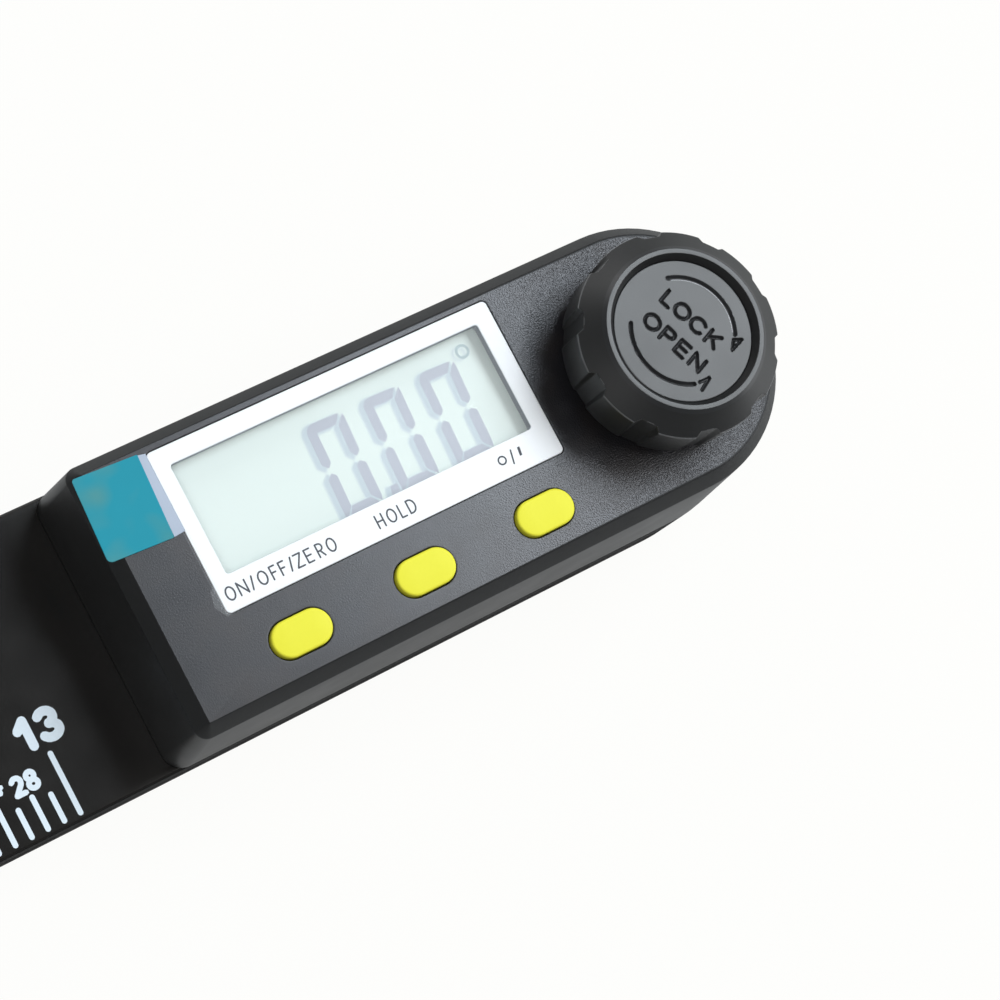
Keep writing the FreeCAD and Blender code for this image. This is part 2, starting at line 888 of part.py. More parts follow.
def main():
    """Write each sub-part to its own file and print its size."""
    os.makedirs("parts", exist_ok=True)
    for name, shape in all_parts().items():
        shape.exportStep("parts/" + name + ".step")
        box = shape.BoundBox
        print(name, len(shape.Solids), shape.isValid(), round(shape.Volume, 3),
              [round(v, 2) for v in (box.XMin, box.YMin, box.ZMin, box.XMax, box.YMax, box.ZMax)])


main()
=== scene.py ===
"""Dressed model of a digital angle finder: two ruled arms, a display head and a lock knob.

All sizes in this file are millimetres until a mesh is written; the mesh itself is in metres. The origin is on
the pivot axis at the lower arm's underside, +X points to the knob's end, +Y is up on the display and +Z is up.
"""
from __future__ import annotations

import json
import logging
import math
from dataclasses import dataclass
from enum import Enum

import bmesh
import bpy
import numpy as np
from mathutils import Matrix, Vector
from mathutils.geometry import delaunay_2d_cdt

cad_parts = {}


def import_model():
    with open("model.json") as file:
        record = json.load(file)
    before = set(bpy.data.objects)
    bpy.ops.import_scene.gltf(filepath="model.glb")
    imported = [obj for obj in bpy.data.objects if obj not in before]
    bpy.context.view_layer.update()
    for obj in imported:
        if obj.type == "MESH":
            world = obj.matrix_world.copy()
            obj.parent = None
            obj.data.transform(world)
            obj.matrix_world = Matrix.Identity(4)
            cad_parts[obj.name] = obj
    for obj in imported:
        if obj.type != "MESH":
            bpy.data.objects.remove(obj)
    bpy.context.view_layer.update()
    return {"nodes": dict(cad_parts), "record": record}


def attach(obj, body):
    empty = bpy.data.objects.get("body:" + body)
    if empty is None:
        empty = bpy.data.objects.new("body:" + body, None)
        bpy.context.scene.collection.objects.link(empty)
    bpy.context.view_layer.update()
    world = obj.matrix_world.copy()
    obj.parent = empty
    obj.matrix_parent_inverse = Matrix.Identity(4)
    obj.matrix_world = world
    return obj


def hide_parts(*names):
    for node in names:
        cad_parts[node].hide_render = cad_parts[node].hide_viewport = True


Array = np.ndarray
Pair = tuple[float, float]
Triple = tuple[float, float, float]
Box = tuple[float, float, float, float]
Shown = tuple[int, int, int]
Tree, Node, Socket = bpy.types.NodeTree, bpy.types.Node, bpy.types.NodeSocket
MM = 0.001
LOG = logging.getLogger("angle_finder")


# Lines and outlines in the plane


def arc(x: float, y: float, rx: float, ry: float, start: float, end: float, steps: int = 24) -> Array:
    """Points on an ellipse: centre plus (rx cos a, ry sin a) with a running evenly from start to end.

    Args:
        x: Centre across.
        y: Centre up.
        rx: Half width.
        ry: Half height.
        start: First angle in degrees.
        end: Last angle in degrees.
        steps: Number of chords.

    Returns:
        Points as rows of two numbers.
    """
    angle = np.radians(np.linspace(start, end, steps + 1))
    return np.stack([x + rx * np.cos(angle), y + ry * np.sin(angle)], axis=1)


def line(*pairs: float) -> Array:
    """Polyline through the points given as x, y, x, y and so on."""
    return np.array(pairs, float).reshape(-1, 2)


@dataclass(frozen=True)
class Outline:
    """Closed outline of arcs joined by straight lines, counter-clockwise seen from above."""

    arcs: tuple[tuple[float, float, float, float, float], ...]
    steps: int = 14

    @staticmethod
    def rectangle(left: float, right: float, low: float, high: float, corner: float, steps: int = 8) -> Outline:
        """Rectangle with round corners, as four quarter arcs."""
        x0, x1, y0, y1 = left + corner, right - corner, low + corner, high - corner
        return Outline(((x1, y0, corner, -90, 0), (x1, y1, corner, 0, 90),
                        (x0, y1, corner, 90, 180), (x0, y0, corner, 180, 270)), steps)

    @staticmethod
    def circle(radius: float, x: float = 0.0, y: float = 0.0, steps: int = 96) -> Outline:
        """Full circle, as one arc that stops one step short of its start."""
        return Outline(((x, y, radius, 0, 360.0 * steps / (steps + 1)),), steps)

    @staticmethod
    def stadium(x: float, y: float, length: float, width: float, steps: int = 20) -> Outline:
        """Straight-sided oval along X, as two half circles."""
        reach = (length - width) / 2
        return Outline(((x + reach, y, width / 2, -90, 90), (x - reach, y, width / 2, 90, 270)), steps)

    @staticmethod
    def blade(left: float, half: float, corner: float) -> Outline:
        """Arm's outline: a half circle about the pivot and two small corners at the square left end."""
        x0, y0 = left + corner, half - corner
        return Outline(((0, 0, half, -90, 90), (x0, y0, corner, 90, 180), (x0, -y0, corner, 180, 270)), 40)

    def points(self, inset: Array) -> Array:
        """Outline drawn in: each arc keeps its centre and loses the inset from its radius.

        Args:
            inset: One inset for each row.

        Returns:
            Array of rows, columns and two coordinates.
        """
        loss = np.asarray(inset, float)[:, None]
        parts = []
        for x, y, radius, start, end in self.arcs:
            angle = np.radians(np.linspace(start, end, self.steps + 1))[None, :]
            reach = np.maximum(radius - loss, 0.02)
            parts.append(np.stack([x + reach * np.cos(angle), y + reach * np.sin(angle)], axis=-1))
        return np.concatenate(parts, axis=1)

    def loop(self, inset: float = 0.0) -> Array:
        """One closed loop at one inset."""
        return self.points([inset])[0]


def rounded(corners: list[Triple], steps: int = 5) -> Array:
    """Profile whose corners are replaced by arcs tangent to both neighbours.

    The tangent length is the radius times the tangent of half the turning angle, and the arc's points are
    turned about its centre by equal angles.

    Args:
        corners: Points as (inset or radius, height, corner radius).
        steps: Chords in each arc.

    Returns:
        Points as rows of two numbers.
    """
    path = np.array([c[:2] for c in corners], float)
    out = [path[:1]]
    for before, here, after, radius in zip(path[:-2], path[1:-1], path[2:], [c[2] for c in corners[1:-1]]):
        into, away = here - before, after - here
        into, away = into / np.linalg.norm(into), away / np.linalg.norm(away)
        turn = math.atan2(into[0] * away[1] - into[1] * away[0], float(into @ away))
        if radius <= 0 or abs(turn) < 1e-6:
            out.append(here[None])
            continue
        first = here - into * radius * math.tan(abs(turn) / 2)
        centre = first + math.copysign(radius, turn) * np.array([-into[1], into[0]])
        angle = np.linspace(0, turn, steps + 1)
        dx, dy = first - centre
        out.append(np.stack([centre[0] + dx * np.cos(angle) - dy * np.sin(angle),
                             centre[1] + dx * np.sin(angle) + dy * np.cos(angle)], axis=1))
    return np.concatenate(out + [path[-1:]])


def nearest(x: Array, y: Array, path: Array) -> Array:
    """Least distance of grid points to a polyline: each point is dropped on every chord, kept within its ends.

    Args:
        x: Grid of x.
        y: Grid of y.
        path: Points of the polyline.

    Returns:
        Grid of distances.
    """
    best = np.full(x.shape, 1e9)
    for (ax, ay), (bx, by) in zip(path[:-1], path[1:]):
        dx, dy = bx - ax, by - ay
        share = np.clip(((x - ax) * dx + (y - ay) * dy) / max(dx * dx + dy * dy, 1e-12), 0, 1)
        best = np.minimum(best, np.hypot(x - ax - share * dx, y - ay - share * dy))
    return best


def outside_distance(x: Array, y: Array, loop: Array) -> Array:
    """Distance of grid points to a closed shape, nought where a ray to the right crosses an odd number of sides.

    Args:
        x: Grid of x.
        y: Grid of y.
        loop: Closed loop of points.

    Returns:
        Grid of distances.
    """
    closed = np.concatenate([loop, loop[:1]])
    inside = np.zeros(x.shape, bool)
    for (ax, ay), (bx, by) in zip(closed[:-1], closed[1:]):
        crosses = (ay > y) != (by > y)
        inside ^= crosses & (x < ax + (y - ay) / (by - ay if by != ay else 1e-12) * (bx - ax))
    return np.where(inside, 0.0, nearest(x, y, closed))


def triangles(loops: list[Array], holes: bool) -> tuple[Array, Array]:
    """Constrained Delaunay triangles over closed loops, all turned counter-clockwise.

    Args:
        loops: An outer loop and its holes, or shapes that may overlap.
        holes: Whether the later loops are holes; else a triangle is kept where any loop holds it.

    Returns:
        Points of two numbers and triangles that number them.
    """
    starts = np.cumsum([0] + [len(loop) for loop in loops])
    faces = [list(range(first, last)) for first, last in zip(starts[:-1], starts[1:])]
    flat = [Vector(p) for p in np.concatenate(loops)]
    verts, _, tris, _, _, origins = delaunay_2d_cdt(flat, [], faces, int(holes), 1e-7 if holes else 1e-6)
    corners = np.array([t for t, o in zip(tris, origins) if o and not (holes and max(o))])
    spots = np.array([(v[0], v[1]) for v in verts])
    a, b, c = (spots[corners[:, k]] for k in range(3))
    area = (b - a)[:, 0] * (c - a)[:, 1] - (b - a)[:, 1] * (c - a)[:, 0]
    return spots, np.where((area > 0)[:, None], corners, corners[:, ::-1])


# Meshes


class Skin:
    """Gathers grids and flat faces in millimetres and turns them into one closed mesh."""

    def __init__(self) -> None:
        """Starts with no points and no faces."""
        self.points: list[Array] = []
        self.faces: list[Array] = []
        self.marks: list[Array] = []
        self.count = 0

    def add(self, points: Array, faces: Array, mark: int | Array = 0) -> None:
        """Adds loose points with faces that number them from nought.

        Args:
            points: Rows of three coordinates.
            faces: Rows of three or four point numbers.
            mark: Number of the material slot, or one for each face.
        """
        self.points.append(np.asarray(points, float))
        self.faces.append(np.asarray(faces, int) + self.count)
        self.marks.append(np.broadcast_to(mark, len(faces)))
        self.count += len(points)

    def grid(self, points: Array, wrap: bool = True, mark: int | Array = 0) -> None:
        """Adds a grid of quads; a row's step turned towards the next row gives the outward side.

        Args:
            points: Array of rows, columns and three coordinates.
            wrap: Whether the last column meets the first.
            mark: Number of the material slot, or an array that spreads over the faces' rows and columns.
        """
        rows, cols = points.shape[:2]
        number = np.arange(rows * cols).reshape(rows, cols)
        if wrap:
            number = np.concatenate([number, number[:, :1]], axis=1)
        quads = np.stack([number[:-1, :-1], number[:-1, 1:], number[1:, 1:], number[1:, :-1]], axis=-1)
        self.add(points.reshape(-1, 3), quads.reshape(-1, 4), np.broadcast_to(mark, quads.shape[:2]).ravel())

    def sweep(self, outline: Outline, profile: Array, mark: int | Array = 0) -> tuple[Array, Array]:
        """Carries a profile round an outline: row i is the outline drawn in by its inset at its height.

        Args:
            outline: The path seen from above.
            profile: Rows of (inset, z); outer walls run upwards and hole walls run downwards.
            mark: As for a grid.

        Returns:
            The loops at the profile's first and last row.
        """
        flat = outline.points(profile[:, 0])
        height = np.broadcast_to(profile[:, 1][:, None, None], flat.shape[:2] + (1,))
        self.grid(np.concatenate([flat, height], axis=-1), True, mark)
        return flat[0], flat[-1]

    def level(self, outer: Array, holes: list[Array], z: float, up: bool) -> None:
        """Adds a level face with holes, filled with Delaunay triangles between the loops.

        Args:
            outer: Outer loop, counter-clockwise.
            holes: Loops that are left open.
            z: Height of the face.
            up: Whether it faces upwards.
        """
        spots, corners = triangles([outer] + holes, True)
        self.add(np.column_stack([spots, np.full(len(spots), z)]), corners if up else corners[:, ::-1])

    def solid(self, outline: Outline, profile: Array, tops: list[Array], feet: list[Array],
              mark: int | Array = 0) -> None:
        """Sweeps an outer wall upwards and closes it with a level face at each end.

        Args:
            outline: The solid seen from above.
            profile: Rows of (inset, z) from the lower face to the upper one.
            tops: Holes in the upper face.
            feet: Holes in the lower face.
            mark: As for a grid.
        """
        first, last = self.sweep(outline, profile, mark)
        self.level(last, tops, profile[-1, 1], True)
        self.level(first, feet, profile[0, 1], False)

    def relief(self, top: Array, foot: float, mark: int | Array = 0) -> None:
        """Adds a square grid as an upper face, with a straight wall round it and a level foot.

        Args:
            top: Array of rows, columns and three coordinates.
            foot: Height of the lower face.
            mark: As for a grid.
        """
        self.grid(top, False, mark)
        edge = np.concatenate([top[0, :-1], top[:-1, -1], top[-1, :0:-1], top[:0:-1, 0]])
        base = edge * [1, 1, 0] + [0, 0, foot]
        self.grid(np.stack([base, edge]))
        self.level(base[:, :2], [], foot, False)

    def mesh(self, name: str, sharp: float = 32.0, weld: float = 0.0015) -> bpy.types.Mesh:
        """Writes the mesh: doubles merged, shaded smooth with edges over the sharp angle kept.

        Args:
            name: Name of the mesh.
            sharp: Angle in degrees over which an edge stays sharp.
            weld: Distance in millimetres within which points are merged.

        Returns:
            The new mesh in metres.
        """
        data = bpy.data.meshes.new(name)
        faces = [tuple(f) for block in self.faces for f in block.tolist()]
        data.from_pydata((np.concatenate(self.points) * MM).tolist(), [], faces)
        data.polygons.foreach_set("material_index", np.concatenate(self.marks).astype(np.int32))
        body = bmesh.new()
        body.from_mesh(data)
        bmesh.ops.remove_doubles(body, verts=body.verts, dist=weld * MM)
        bmesh.ops.dissolve_degenerate(body, dist=weld * MM * 0.5, edges=body.edges)
        body.to_mesh(data)
        body.free()
        data.shade_smooth()
        data.set_sharp_from_angle(angle=math.radians(sharp))
        data.update()
        return data


class Marking:
    """Level shapes made as thin closed slabs, for prints, ticks and display segments."""

    def __init__(self, low: float, high: float) -> None:
        """Keeps the two heights between which every slab stands."""
        self.low = low
        self.high = high
        self.skin = Skin()

    def stamp(self, shapes: list[Array], spots: list[Pair] | Array = ((0.0, 0.0),)) -> Marking:
        """Repeats the slab over a union of overlapping shapes at many places.

        The triangulation cuts the shapes at their crossings, and each edge that only one triangle uses gets
        a wall.

        Args:
            shapes: Closed loops.
            spots: Rows of (x, y) offsets.

        Returns:
            The marking itself.
        """
        flat, corners = triangles(shapes, False)
        size = len(flat)
        edges = np.concatenate([corners[:, [0, 1]], corners[:, [1, 2]], corners[:, [2, 0]]])
        p, q = edges[~np.isin(edges @ [size, 1], edges @ [1, size])].T
        walls = np.concatenate([np.stack([p + size, q + size, q], 1), np.stack([p + size, q, p], 1)])
        faces = np.concatenate([corners, corners[:, ::-1] + size, walls])
        points = np.concatenate([np.column_stack([flat, np.full(size, z)]) for z in (self.high, self.low)])
        shift = np.column_stack([np.asarray(spots, float), np.zeros(len(spots))])
        number = faces[None] + (np.arange(len(shift)) * len(points))[:, None, None]
        self.skin.add((points[None] + shift[:, None]).reshape(-1, 3), number.reshape(-1, 3))
        return self

    def finish(self, name: str, finish: Finish, body: str, slot: str, *nodes: str) -> None:
        """Makes the piece: its flat faces meet at sharp edges, and nothing is welded."""
        finish_piece(self.skin.mesh(name, 30, 0.0), [finish], body, slot, *nodes)


def capsules(strokes: list[Array], width: float, steps: int = 4) -> list[Array]:
    """Round-ended bands round each chord of some strokes; together they form lines with round joints.

    Args:
        strokes: Polylines.
        width: Full width of the line.
        steps: Chords in each half circle.

    Returns:
        One closed loop for each chord, counter-clockwise.
    """
    loops, half = [], width / 2
    for stroke in strokes:
        for (ax, ay), (bx, by) in zip(stroke[:-1], stroke[1:]):
            lean = math.degrees(math.atan2(by - ay, bx - ax))
            loops.append(np.concatenate([arc(bx, by, half, half, lean - 90, lean + 90, steps),
                                         arc(ax, ay, half, half, lean + 90, lean + 270, steps)]))
    return loops


def letter(sign: str, w: float, n: int = 16) -> list[Array]:
    """Centre lines of one letter or number in a cell of height 1.

    Args:
        sign: The character.
        w: Width of the cell.
        n: Chords in a full bow.

    Returns:
        The strokes as polylines.
    """
    half, small, bow = w / 2, max(n // 2, 3), w - 0.28
    ring = [arc(half, 0.5, half, 0.5, 90, 450, n)]
    stem = line(0, 0, 0, 1)
    flag = [line(0, 0, 0, 1, bow, 1), arc(bow, 0.73, 0.28, 0.27, 90, -90, small), line(bow, 0.46, 0, 0.46)]
    return {
        "O": ring,
        "N": [stem, line(0, 1, w, 0), line(w, 0, w, 1)],
        "F": [line(0, 0, 0, 1, w, 1), line(0, 0.52, 0.85 * w, 0.52)],
        "Z": [line(0, 1, w, 1, 0, 0, w, 0)],
        "E": [line(w, 1, 0, 1, 0, 0, w, 0), line(0, 0.52, 0.92 * w, 0.52)],
        "H": [stem, line(w, 0, w, 1), line(0, 0.5, w, 0.5)],
        "L": [line(0, 1, 0, 0, w, 0)],
        "K": [stem, line(w, 1, 0, 0.34), line(0.36 * w, 0.58, w, 0)],
        "C": [arc(half, 0.5, half, 0.5, 42, 318, n)],
        "P": flag,
        "R": flag + [line(0.45 * w, 0.46, w, 0)],
        "D": [line(0.35 * w, 0, 0, 0, 0, 1, 0.35 * w, 1), arc(0.35 * w, 0.5, 0.65 * w, 0.5, 90, -90, small)],
        "/": [line(0, 0, w, 1)],
        "0": ring,
        "1": [line(0.22 * w, 0.7, 0.7 * w, 1, 0.7 * w, 0)],
        "2": [np.concatenate([arc(half, 0.72, half, 0.28, 160, -38, small), line(0, 0, w, 0)])],
        "3": [np.concatenate([arc(half, 0.75, 0.88 * half, 0.25, 150, -82, small),
                              arc(half, 0.26, half, 0.26, 82, -155, small)])],
        "4": [line(0.72 * w, 0, 0.72 * w, 1, 0, 0.3, w, 0.3)],
        "5": [np.concatenate([line(0.92 * w, 1, 0.12 * w, 1, 0.05 * w, 0.56),
                              arc(half, 0.32, half, 0.32, 118, -145, small)])],
        "6": [arc(half, 0.29, half, 0.29, 90, 450, n), arc(w, 0.36, w, 0.64, 98, 180, small)],
        "7": [line(0, 1, w, 1, 0.3 * w, 0)],
        "8": [arc(half, 0.76, 0.86 * half, 0.24, 90, 450, n), arc(half, 0.26, half, 0.26, 90, 450, n)],
        "9": [arc(half, 0.71, half, 0.29, 90, 450, n), arc(0, 0.64, w, 0.64, -82, 0, small)],
    }[sign]


# Finishes


class Graph:
    """A node tree with short ways to make nodes, to feed their inputs and to reckon with sockets."""

    def __init__(self, tree: Tree) -> None:
        """Keeps the tree."""
        self.tree = tree

    @staticmethod
    def named(sockets: bpy.types.bpy_prop_collection, label: str) -> Socket:
        """First enabled socket of this name."""
        return next(s for s in sockets if s.name == label and s.enabled)

    def feed(self, node: Node, inputs: dict) -> None:
        """Links or sets the inputs of a node.

        Args:
            node: The node.
            inputs: By number or name of the input, the socket to link or the value to set.
        """
        for key, value in inputs.items():
            slot = node.inputs[key] if isinstance(key, int) else self.named(node.inputs, key)
            if isinstance(value, Socket):
                self.tree.links.new(value, slot)
            else:
                slot.default_value = value

    def node(self, kind: str, inputs: dict | None = None, **settings: object) -> Node:
        """Makes a shader node.

        Args:
            kind: Its type, without the words that all types share.
            inputs: What feeds it.
            settings: Its own options, set first.

        Returns:
            The node.
        """
        node = self.tree.nodes.new("ShaderNode" + kind)
        for label, value in settings.items():
            setattr(node, label, value)
        self.feed(node, inputs or {})
        return node

    def maths(self, kind: str, one: Socket | float, two: Socket | float) -> Socket:
        """Result of one sum with two sockets or numbers."""
        return self.node("Math", {0: one, 1: two}, operation=kind).outputs[0]

    def mix(self, share: Socket, one: Socket | tuple, two: Socket | tuple) -> Socket:
        """Colour between two, by a share."""
        node = self.node("Mix", {"Factor": share, "A": one, "B": two}, data_type="RGBA")
        return self.named(node.outputs, "Result")


class MouldedGroup:
    """Node group for a moulded or worked surface: grain bump, cloudy colour and patches of gloss."""

    NAME = "moulded_surface"
    SOCKETS = (
        ("INPUT", "Color", ("Colour", "Blotch Colour")),
        ("INPUT", "Float", ("Roughness", "Grain Scale", "Grain Depth", "Cloud", "Speck", "Gloss Patches", "Blotch",
                            "Fade")),
        ("OUTPUT", "Color", ("Colour",)), ("OUTPUT", "Float", ("Roughness",)), ("OUTPUT", "Vector", ("Normal",)),
    )
    CLOUD_SCALE = 90.0
    PATCH_SCALE = 260.0
    BLOTCH_START = 0.42
    BLOTCH_SLOPE = 5.0
    BUMP_METRES = 0.00012
    FADE_FROM = -0.024

    @classmethod
    def get(cls) -> Tree:
        """The shared group, built on its first use."""
        return bpy.data.node_groups.get(cls.NAME) or cls.build()

    @classmethod
    def build(cls) -> Tree:
        """Builds the group.

        Colour is multiplied by a cloud of large noise and a speck of the grain; roughness moves with a slow
        noise; the normal comes from noise at the grain's own size, and Fade wears the grain down towards -X.

        Returns:
            The node tree.
        """
        tree = bpy.data.node_groups.new(cls.NAME, "ShaderNodeTree")
        for way, kind, labels in cls.SOCKETS:
            for label in labels:
                tree.interface.new_socket(label, in_out=way, socket_type="NodeSocket" + kind)
        given, end = tree.nodes.new("NodeGroupInput").outputs, tree.nodes.new("NodeGroupOutput")
        graph = Graph(tree)
        maths = graph.maths
        place = graph.node("TexCoord").outputs["Object"]
        cloud, patch, grain = (
            graph.node("TexNoise", {"Vector": place, "Scale": scale, "Detail": detail}).outputs["Fac"]
            for scale, detail in ((cls.CLOUD_SCALE, 2.0), (cls.PATCH_SCALE, 1.0), (given["Grain Scale"], 1.5)))
        shade = maths("ADD", maths("MULTIPLY", maths("SUBTRACT", cloud, 0.5), given["Cloud"]),
                      maths("MULTIPLY", maths("SUBTRACT", grain, 0.5), given["Speck"]))
        spread = maths("MULTIPLY", maths("SUBTRACT", patch, cls.BLOTCH_START), cls.BLOTCH_SLOPE)
        stain = graph.mix(maths("MULTIPLY", spread, given["Blotch"]), given["Colour"], given["Blotch Colour"])
        tint = graph.node("VectorMath", {0: stain, "Scale": maths("ADD", shade, 1.0)}, operation="SCALE")
        gloss = maths("MULTIPLY", maths("SUBTRACT", patch, 0.5), given["Gloss Patches"])
        along = graph.node("MapRange", {"Value": graph.node("SeparateXYZ", {0: place}).outputs["X"],
                                        "From Min": cls.FADE_FROM, "From Max": 0.0})
        left = maths("ADD", maths("MULTIPLY", graph.named(along.outputs, "Result"), given["Fade"]),
                     maths("SUBTRACT", 1.0, given["Fade"]))
        bump = graph.node("Bump", {"Distance": cls.BUMP_METRES, "Height": grain,
                                   "Strength": maths("MULTIPLY", left, given["Grain Depth"])})
        graph.feed(end, {"Colour": tint.outputs["Vector"], "Normal": bump.outputs["Normal"],
                         "Roughness": maths("ADD", gloss, given["Roughness"])})
        return tree


def tone(shown: Shown) -> tuple[float, ...]:
    """Linear colour of a display colour: below 0.04045 divided by 12.92, else a 2.4 power; opaque."""
    parts = [v / 255 for v in shown]
    return (*(p / 12.92 if p <= 0.04045 else ((p + 0.055) / 1.055) ** 2.4 for p in parts), 1.0)


@dataclass(frozen=True)
class Finish:
    """One finish: a shader's plain values and the values of the shared moulded surface; a depth of 1 is 0.06 mm."""

    name: str
    colour: Shown
    roughness: float = 0.5
    metallic: float = 0.0
    specular: float = 0.5
    alpha: float = 1.0
    tint: Triple = (1.0, 1.0, 1.0)
    grain_mm: float = 0.3
    depth: float = 0.2
    cloud: float = 0.08
    speck: float = 0.06
    patches: float = 0.1
    blotch: float = 0.0
    blotch_colour: Shown = (0, 0, 0)
    fade: float = 0.0
    shade: str = ""
    shade_colour: Shown = (0, 0, 0)

    def material(self) -> bpy.types.Material:
        """Builds the material once: group to Principled, with an attribute mixed in where one is named.

        Returns:
            The material of this name.
        """
        label = "finish_" + self.name
        known = bpy.data.materials.get(label)
        if known:
            return known
        stuff = bpy.data.materials.new(label)
        stuff.use_nodes = True
        graph = Graph(stuff.node_tree)
        colour = tone(self.colour)
        if self.shade:
            share = graph.node("Attribute", attribute_name=self.shade).outputs["Fac"]
            colour = graph.mix(share, colour, tone(self.shade_colour))
        surface = graph.node("Group", {
            "Colour": colour, "Blotch Colour": tone(self.blotch_colour), "Roughness": self.roughness,
            "Grain Scale": 1000.0 / self.grain_mm, "Grain Depth": self.depth / 2, "Cloud": self.cloud,
            "Speck": self.speck, "Gloss Patches": self.patches, "Blotch": self.blotch, "Fade": self.fade,
        }, node_tree=MouldedGroup.get()).outputs
        graph.feed(stuff.node_tree.nodes["Principled BSDF"], {
            "Base Color": surface["Colour"], "Roughness": surface["Roughness"], "Normal": surface["Normal"],
            "Metallic": self.metallic, "Specular IOR Level": self.specular, "Alpha": self.alpha,
            "Specular Tint": (*self.tint, 1.0)})
        if self.alpha < 1:
            stuff.surface_render_method = "BLENDED"
        return stuff


CASING = Finish("casing", (25, 25, 28), 0.31, specular=0.6, tint=(0.95, 0.96, 1.0), grain_mm=0.145, depth=1.15,
                cloud=0.12, speck=0.3, patches=0.1, blotch=0.35, blotch_colour=(33, 27, 24), fade=0.88)
CASING_SIDE = Finish("casing_side", (22, 22, 22), 0.46, specular=0.38, tint=(0.93, 0.96, 1.0), grain_mm=0.4,
                     depth=0.08, cloud=0.12, speck=0.1, patches=0.08)
ARM = Finish("arm_plastic", (22, 21, 20), 0.22, specular=0.35, grain_mm=0.4, depth=0.08, cloud=0.15, speck=0.1,
             patches=0.08, blotch=0.3, blotch_colour=(26, 24, 22))
ARM_SIDE = Finish("arm_side", (18, 18, 19), 0.65, specular=0.06, grain_mm=0.3, depth=0.25, cloud=0.2, speck=0.2)
KNOB = Finish("knob_plastic", (20, 21, 22), 0.44, depth=0.06, cloud=0.15, speck=0.08, patches=0.06)
# Painted highlight: a grey finish along the knob's flute and shoulder edges, where the crown's edge catches the light.
KNOB_EDGE_HIGHLIGHT = Finish("knob_edge_painted_highlight", (84, 85, 87), 0.4, grain_mm=0.4, depth=0.05, cloud=0.5, speck=0.3)
CREST = Finish("knob_crest", (34, 35, 37), 0.34, specular=0.46, depth=0.03, cloud=0.1, speck=0.05)
# Painted highlight: a pale finish for a thin band inside the cap's first arc.
CAP_ARC_HIGHLIGHT = Finish("cap_arc_painted_highlight", (150, 152, 156), 0.35, depth=0.05, cloud=0.4, speck=0.2)
CAP = Finish("cap_plastic", (32, 33, 35), 0.34, specular=0.46, grain_mm=0.16, depth=0.05, cloud=0.1, speck=0.2,
             patches=0.06)
WHITE = Finish("bezel_white", (240, 243, 246), 0.4, specular=0.3, grain_mm=0.6, depth=0.03, cloud=0.02, speck=0.02)
# Painted shade: a grey finish for the lower part of the bezel window's inner wall.
BEZEL_WALL_SHADE = Finish("bezel_wall_painted_shade", (150, 158, 168), 0.45, specular=0.3, depth=0.03, cloud=0.05)
PRINT = Finish("scale_print", (212, 226, 236), 0.55, grain_mm=0.12, depth=0.15, cloud=0.03, speck=0.12)
INK = Finish("label_ink", (66, 68, 76), 0.6, specular=0.2, grain_mm=0.1, depth=0.1, speck=0.2)
LCD = Finish("display_glass", (230, 243, 238), 0.35, specular=0.2, depth=0.01, cloud=0.02, speck=0.01,
             shade="shade", shade_colour=(190, 205, 216))
SEGMENT = Finish("display_segment", (182, 187, 201), 0.35, specular=0.2, depth=0.01, cloud=0.04, speck=0.02)
RING = Finish("display_ring", (178, 198, 202), 0.35, specular=0.2, depth=0.01, cloud=0.04, speck=0.02)
PANE = Finish("clear_pane", (245, 250, 250), 0.06, alpha=0.04, depth=0.01, cloud=0.02, speck=0.0, patches=0.02)
FILM = Finish("clear_film", (240, 246, 250), 0.3, specular=0.12, alpha=0.04, grain_mm=3.0, depth=0.05, cloud=0.1,
              speck=0.0)
NECK = Finish("film_neck", (176, 188, 206), 0.4, specular=0.3, alpha=0.9, grain_mm=1.5, depth=0.08, cloud=0.15)
TAB = Finish("tab_film", (32, 141, 161), specular=0.12, grain_mm=1.6, depth=0.1, cloud=0.12, speck=0.03,
             blotch=0.4, blotch_colour=(92, 140, 132))
YELLOW = Finish("button_yellow", (226, 223, 64), 0.42, specular=0.12, depth=0.05, cloud=0.04, speck=0.03)
COVER = Finish("cover_plastic", (34, 35, 37), 0.48, depth=0.3, cloud=0.12)

INNER = {finish.name: finish for finish in (
    CASING, ARM, WHITE, PANE, FILM, TAB, LCD, KNOB, CAP, YELLOW, COVER,
    Finish("screw_steel", (176, 178, 182), 0.3, 1.0, grain_mm=0.2, depth=0.06, speck=0.1, patches=0.15),
    Finish("bush_brass", (196, 164, 98), 0.35, 1.0, grain_mm=0.2, depth=0.06, speck=0.1, patches=0.15),
    Finish("pale_sheet", (226, 230, 228), depth=0.05),
    Finish("holder_plastic", (36, 38, 40), depth=0.1),
    Finish("elastomer", (150, 140, 138), 0.6, grain_mm=0.1, depth=0.3, speck=0.5),
    Finish("circuit_board", (26, 92, 54), 0.4, grain_mm=0.8, depth=0.15, cloud=0.2),
    Finish("black_plastic", (24, 24, 25), 0.45, depth=0.1),
    Finish("crystal_can", (190, 192, 194), 0.28, 1.0, depth=0.03),
    Finish("keypad_rubber", (92, 96, 98), 0.65, grain_mm=0.5, depth=0.1),
    Finish("carbon", (18, 18, 19), 0.7, grain_mm=0.1, depth=0.3),
    Finish("cell_steel", (196, 197, 199), 0.3, 1.0, grain_mm=0.15, depth=0.05, patches=0.2),
    Finish("spring_steel", (188, 186, 180), 0.3, 1.0, grain_mm=0.15, depth=0.05, patches=0.2),
    Finish("hub_plastic", (214, 214, 208), depth=0.08),
    Finish("stud_steel", (168, 170, 174), 0.32, 1.0, grain_mm=0.2, depth=0.06, patches=0.15),
    Finish("slip_plastic", (32, 32, 34), 0.4, grain_mm=0.4, depth=0.06),
)}


def placed(name: str, data: bpy.types.ID) -> bpy.types.Object:
    """New object of some data, linked to the scene."""
    thing = bpy.data.objects.new(name, data)
    bpy.context.scene.collection.objects.link(thing)
    return thing


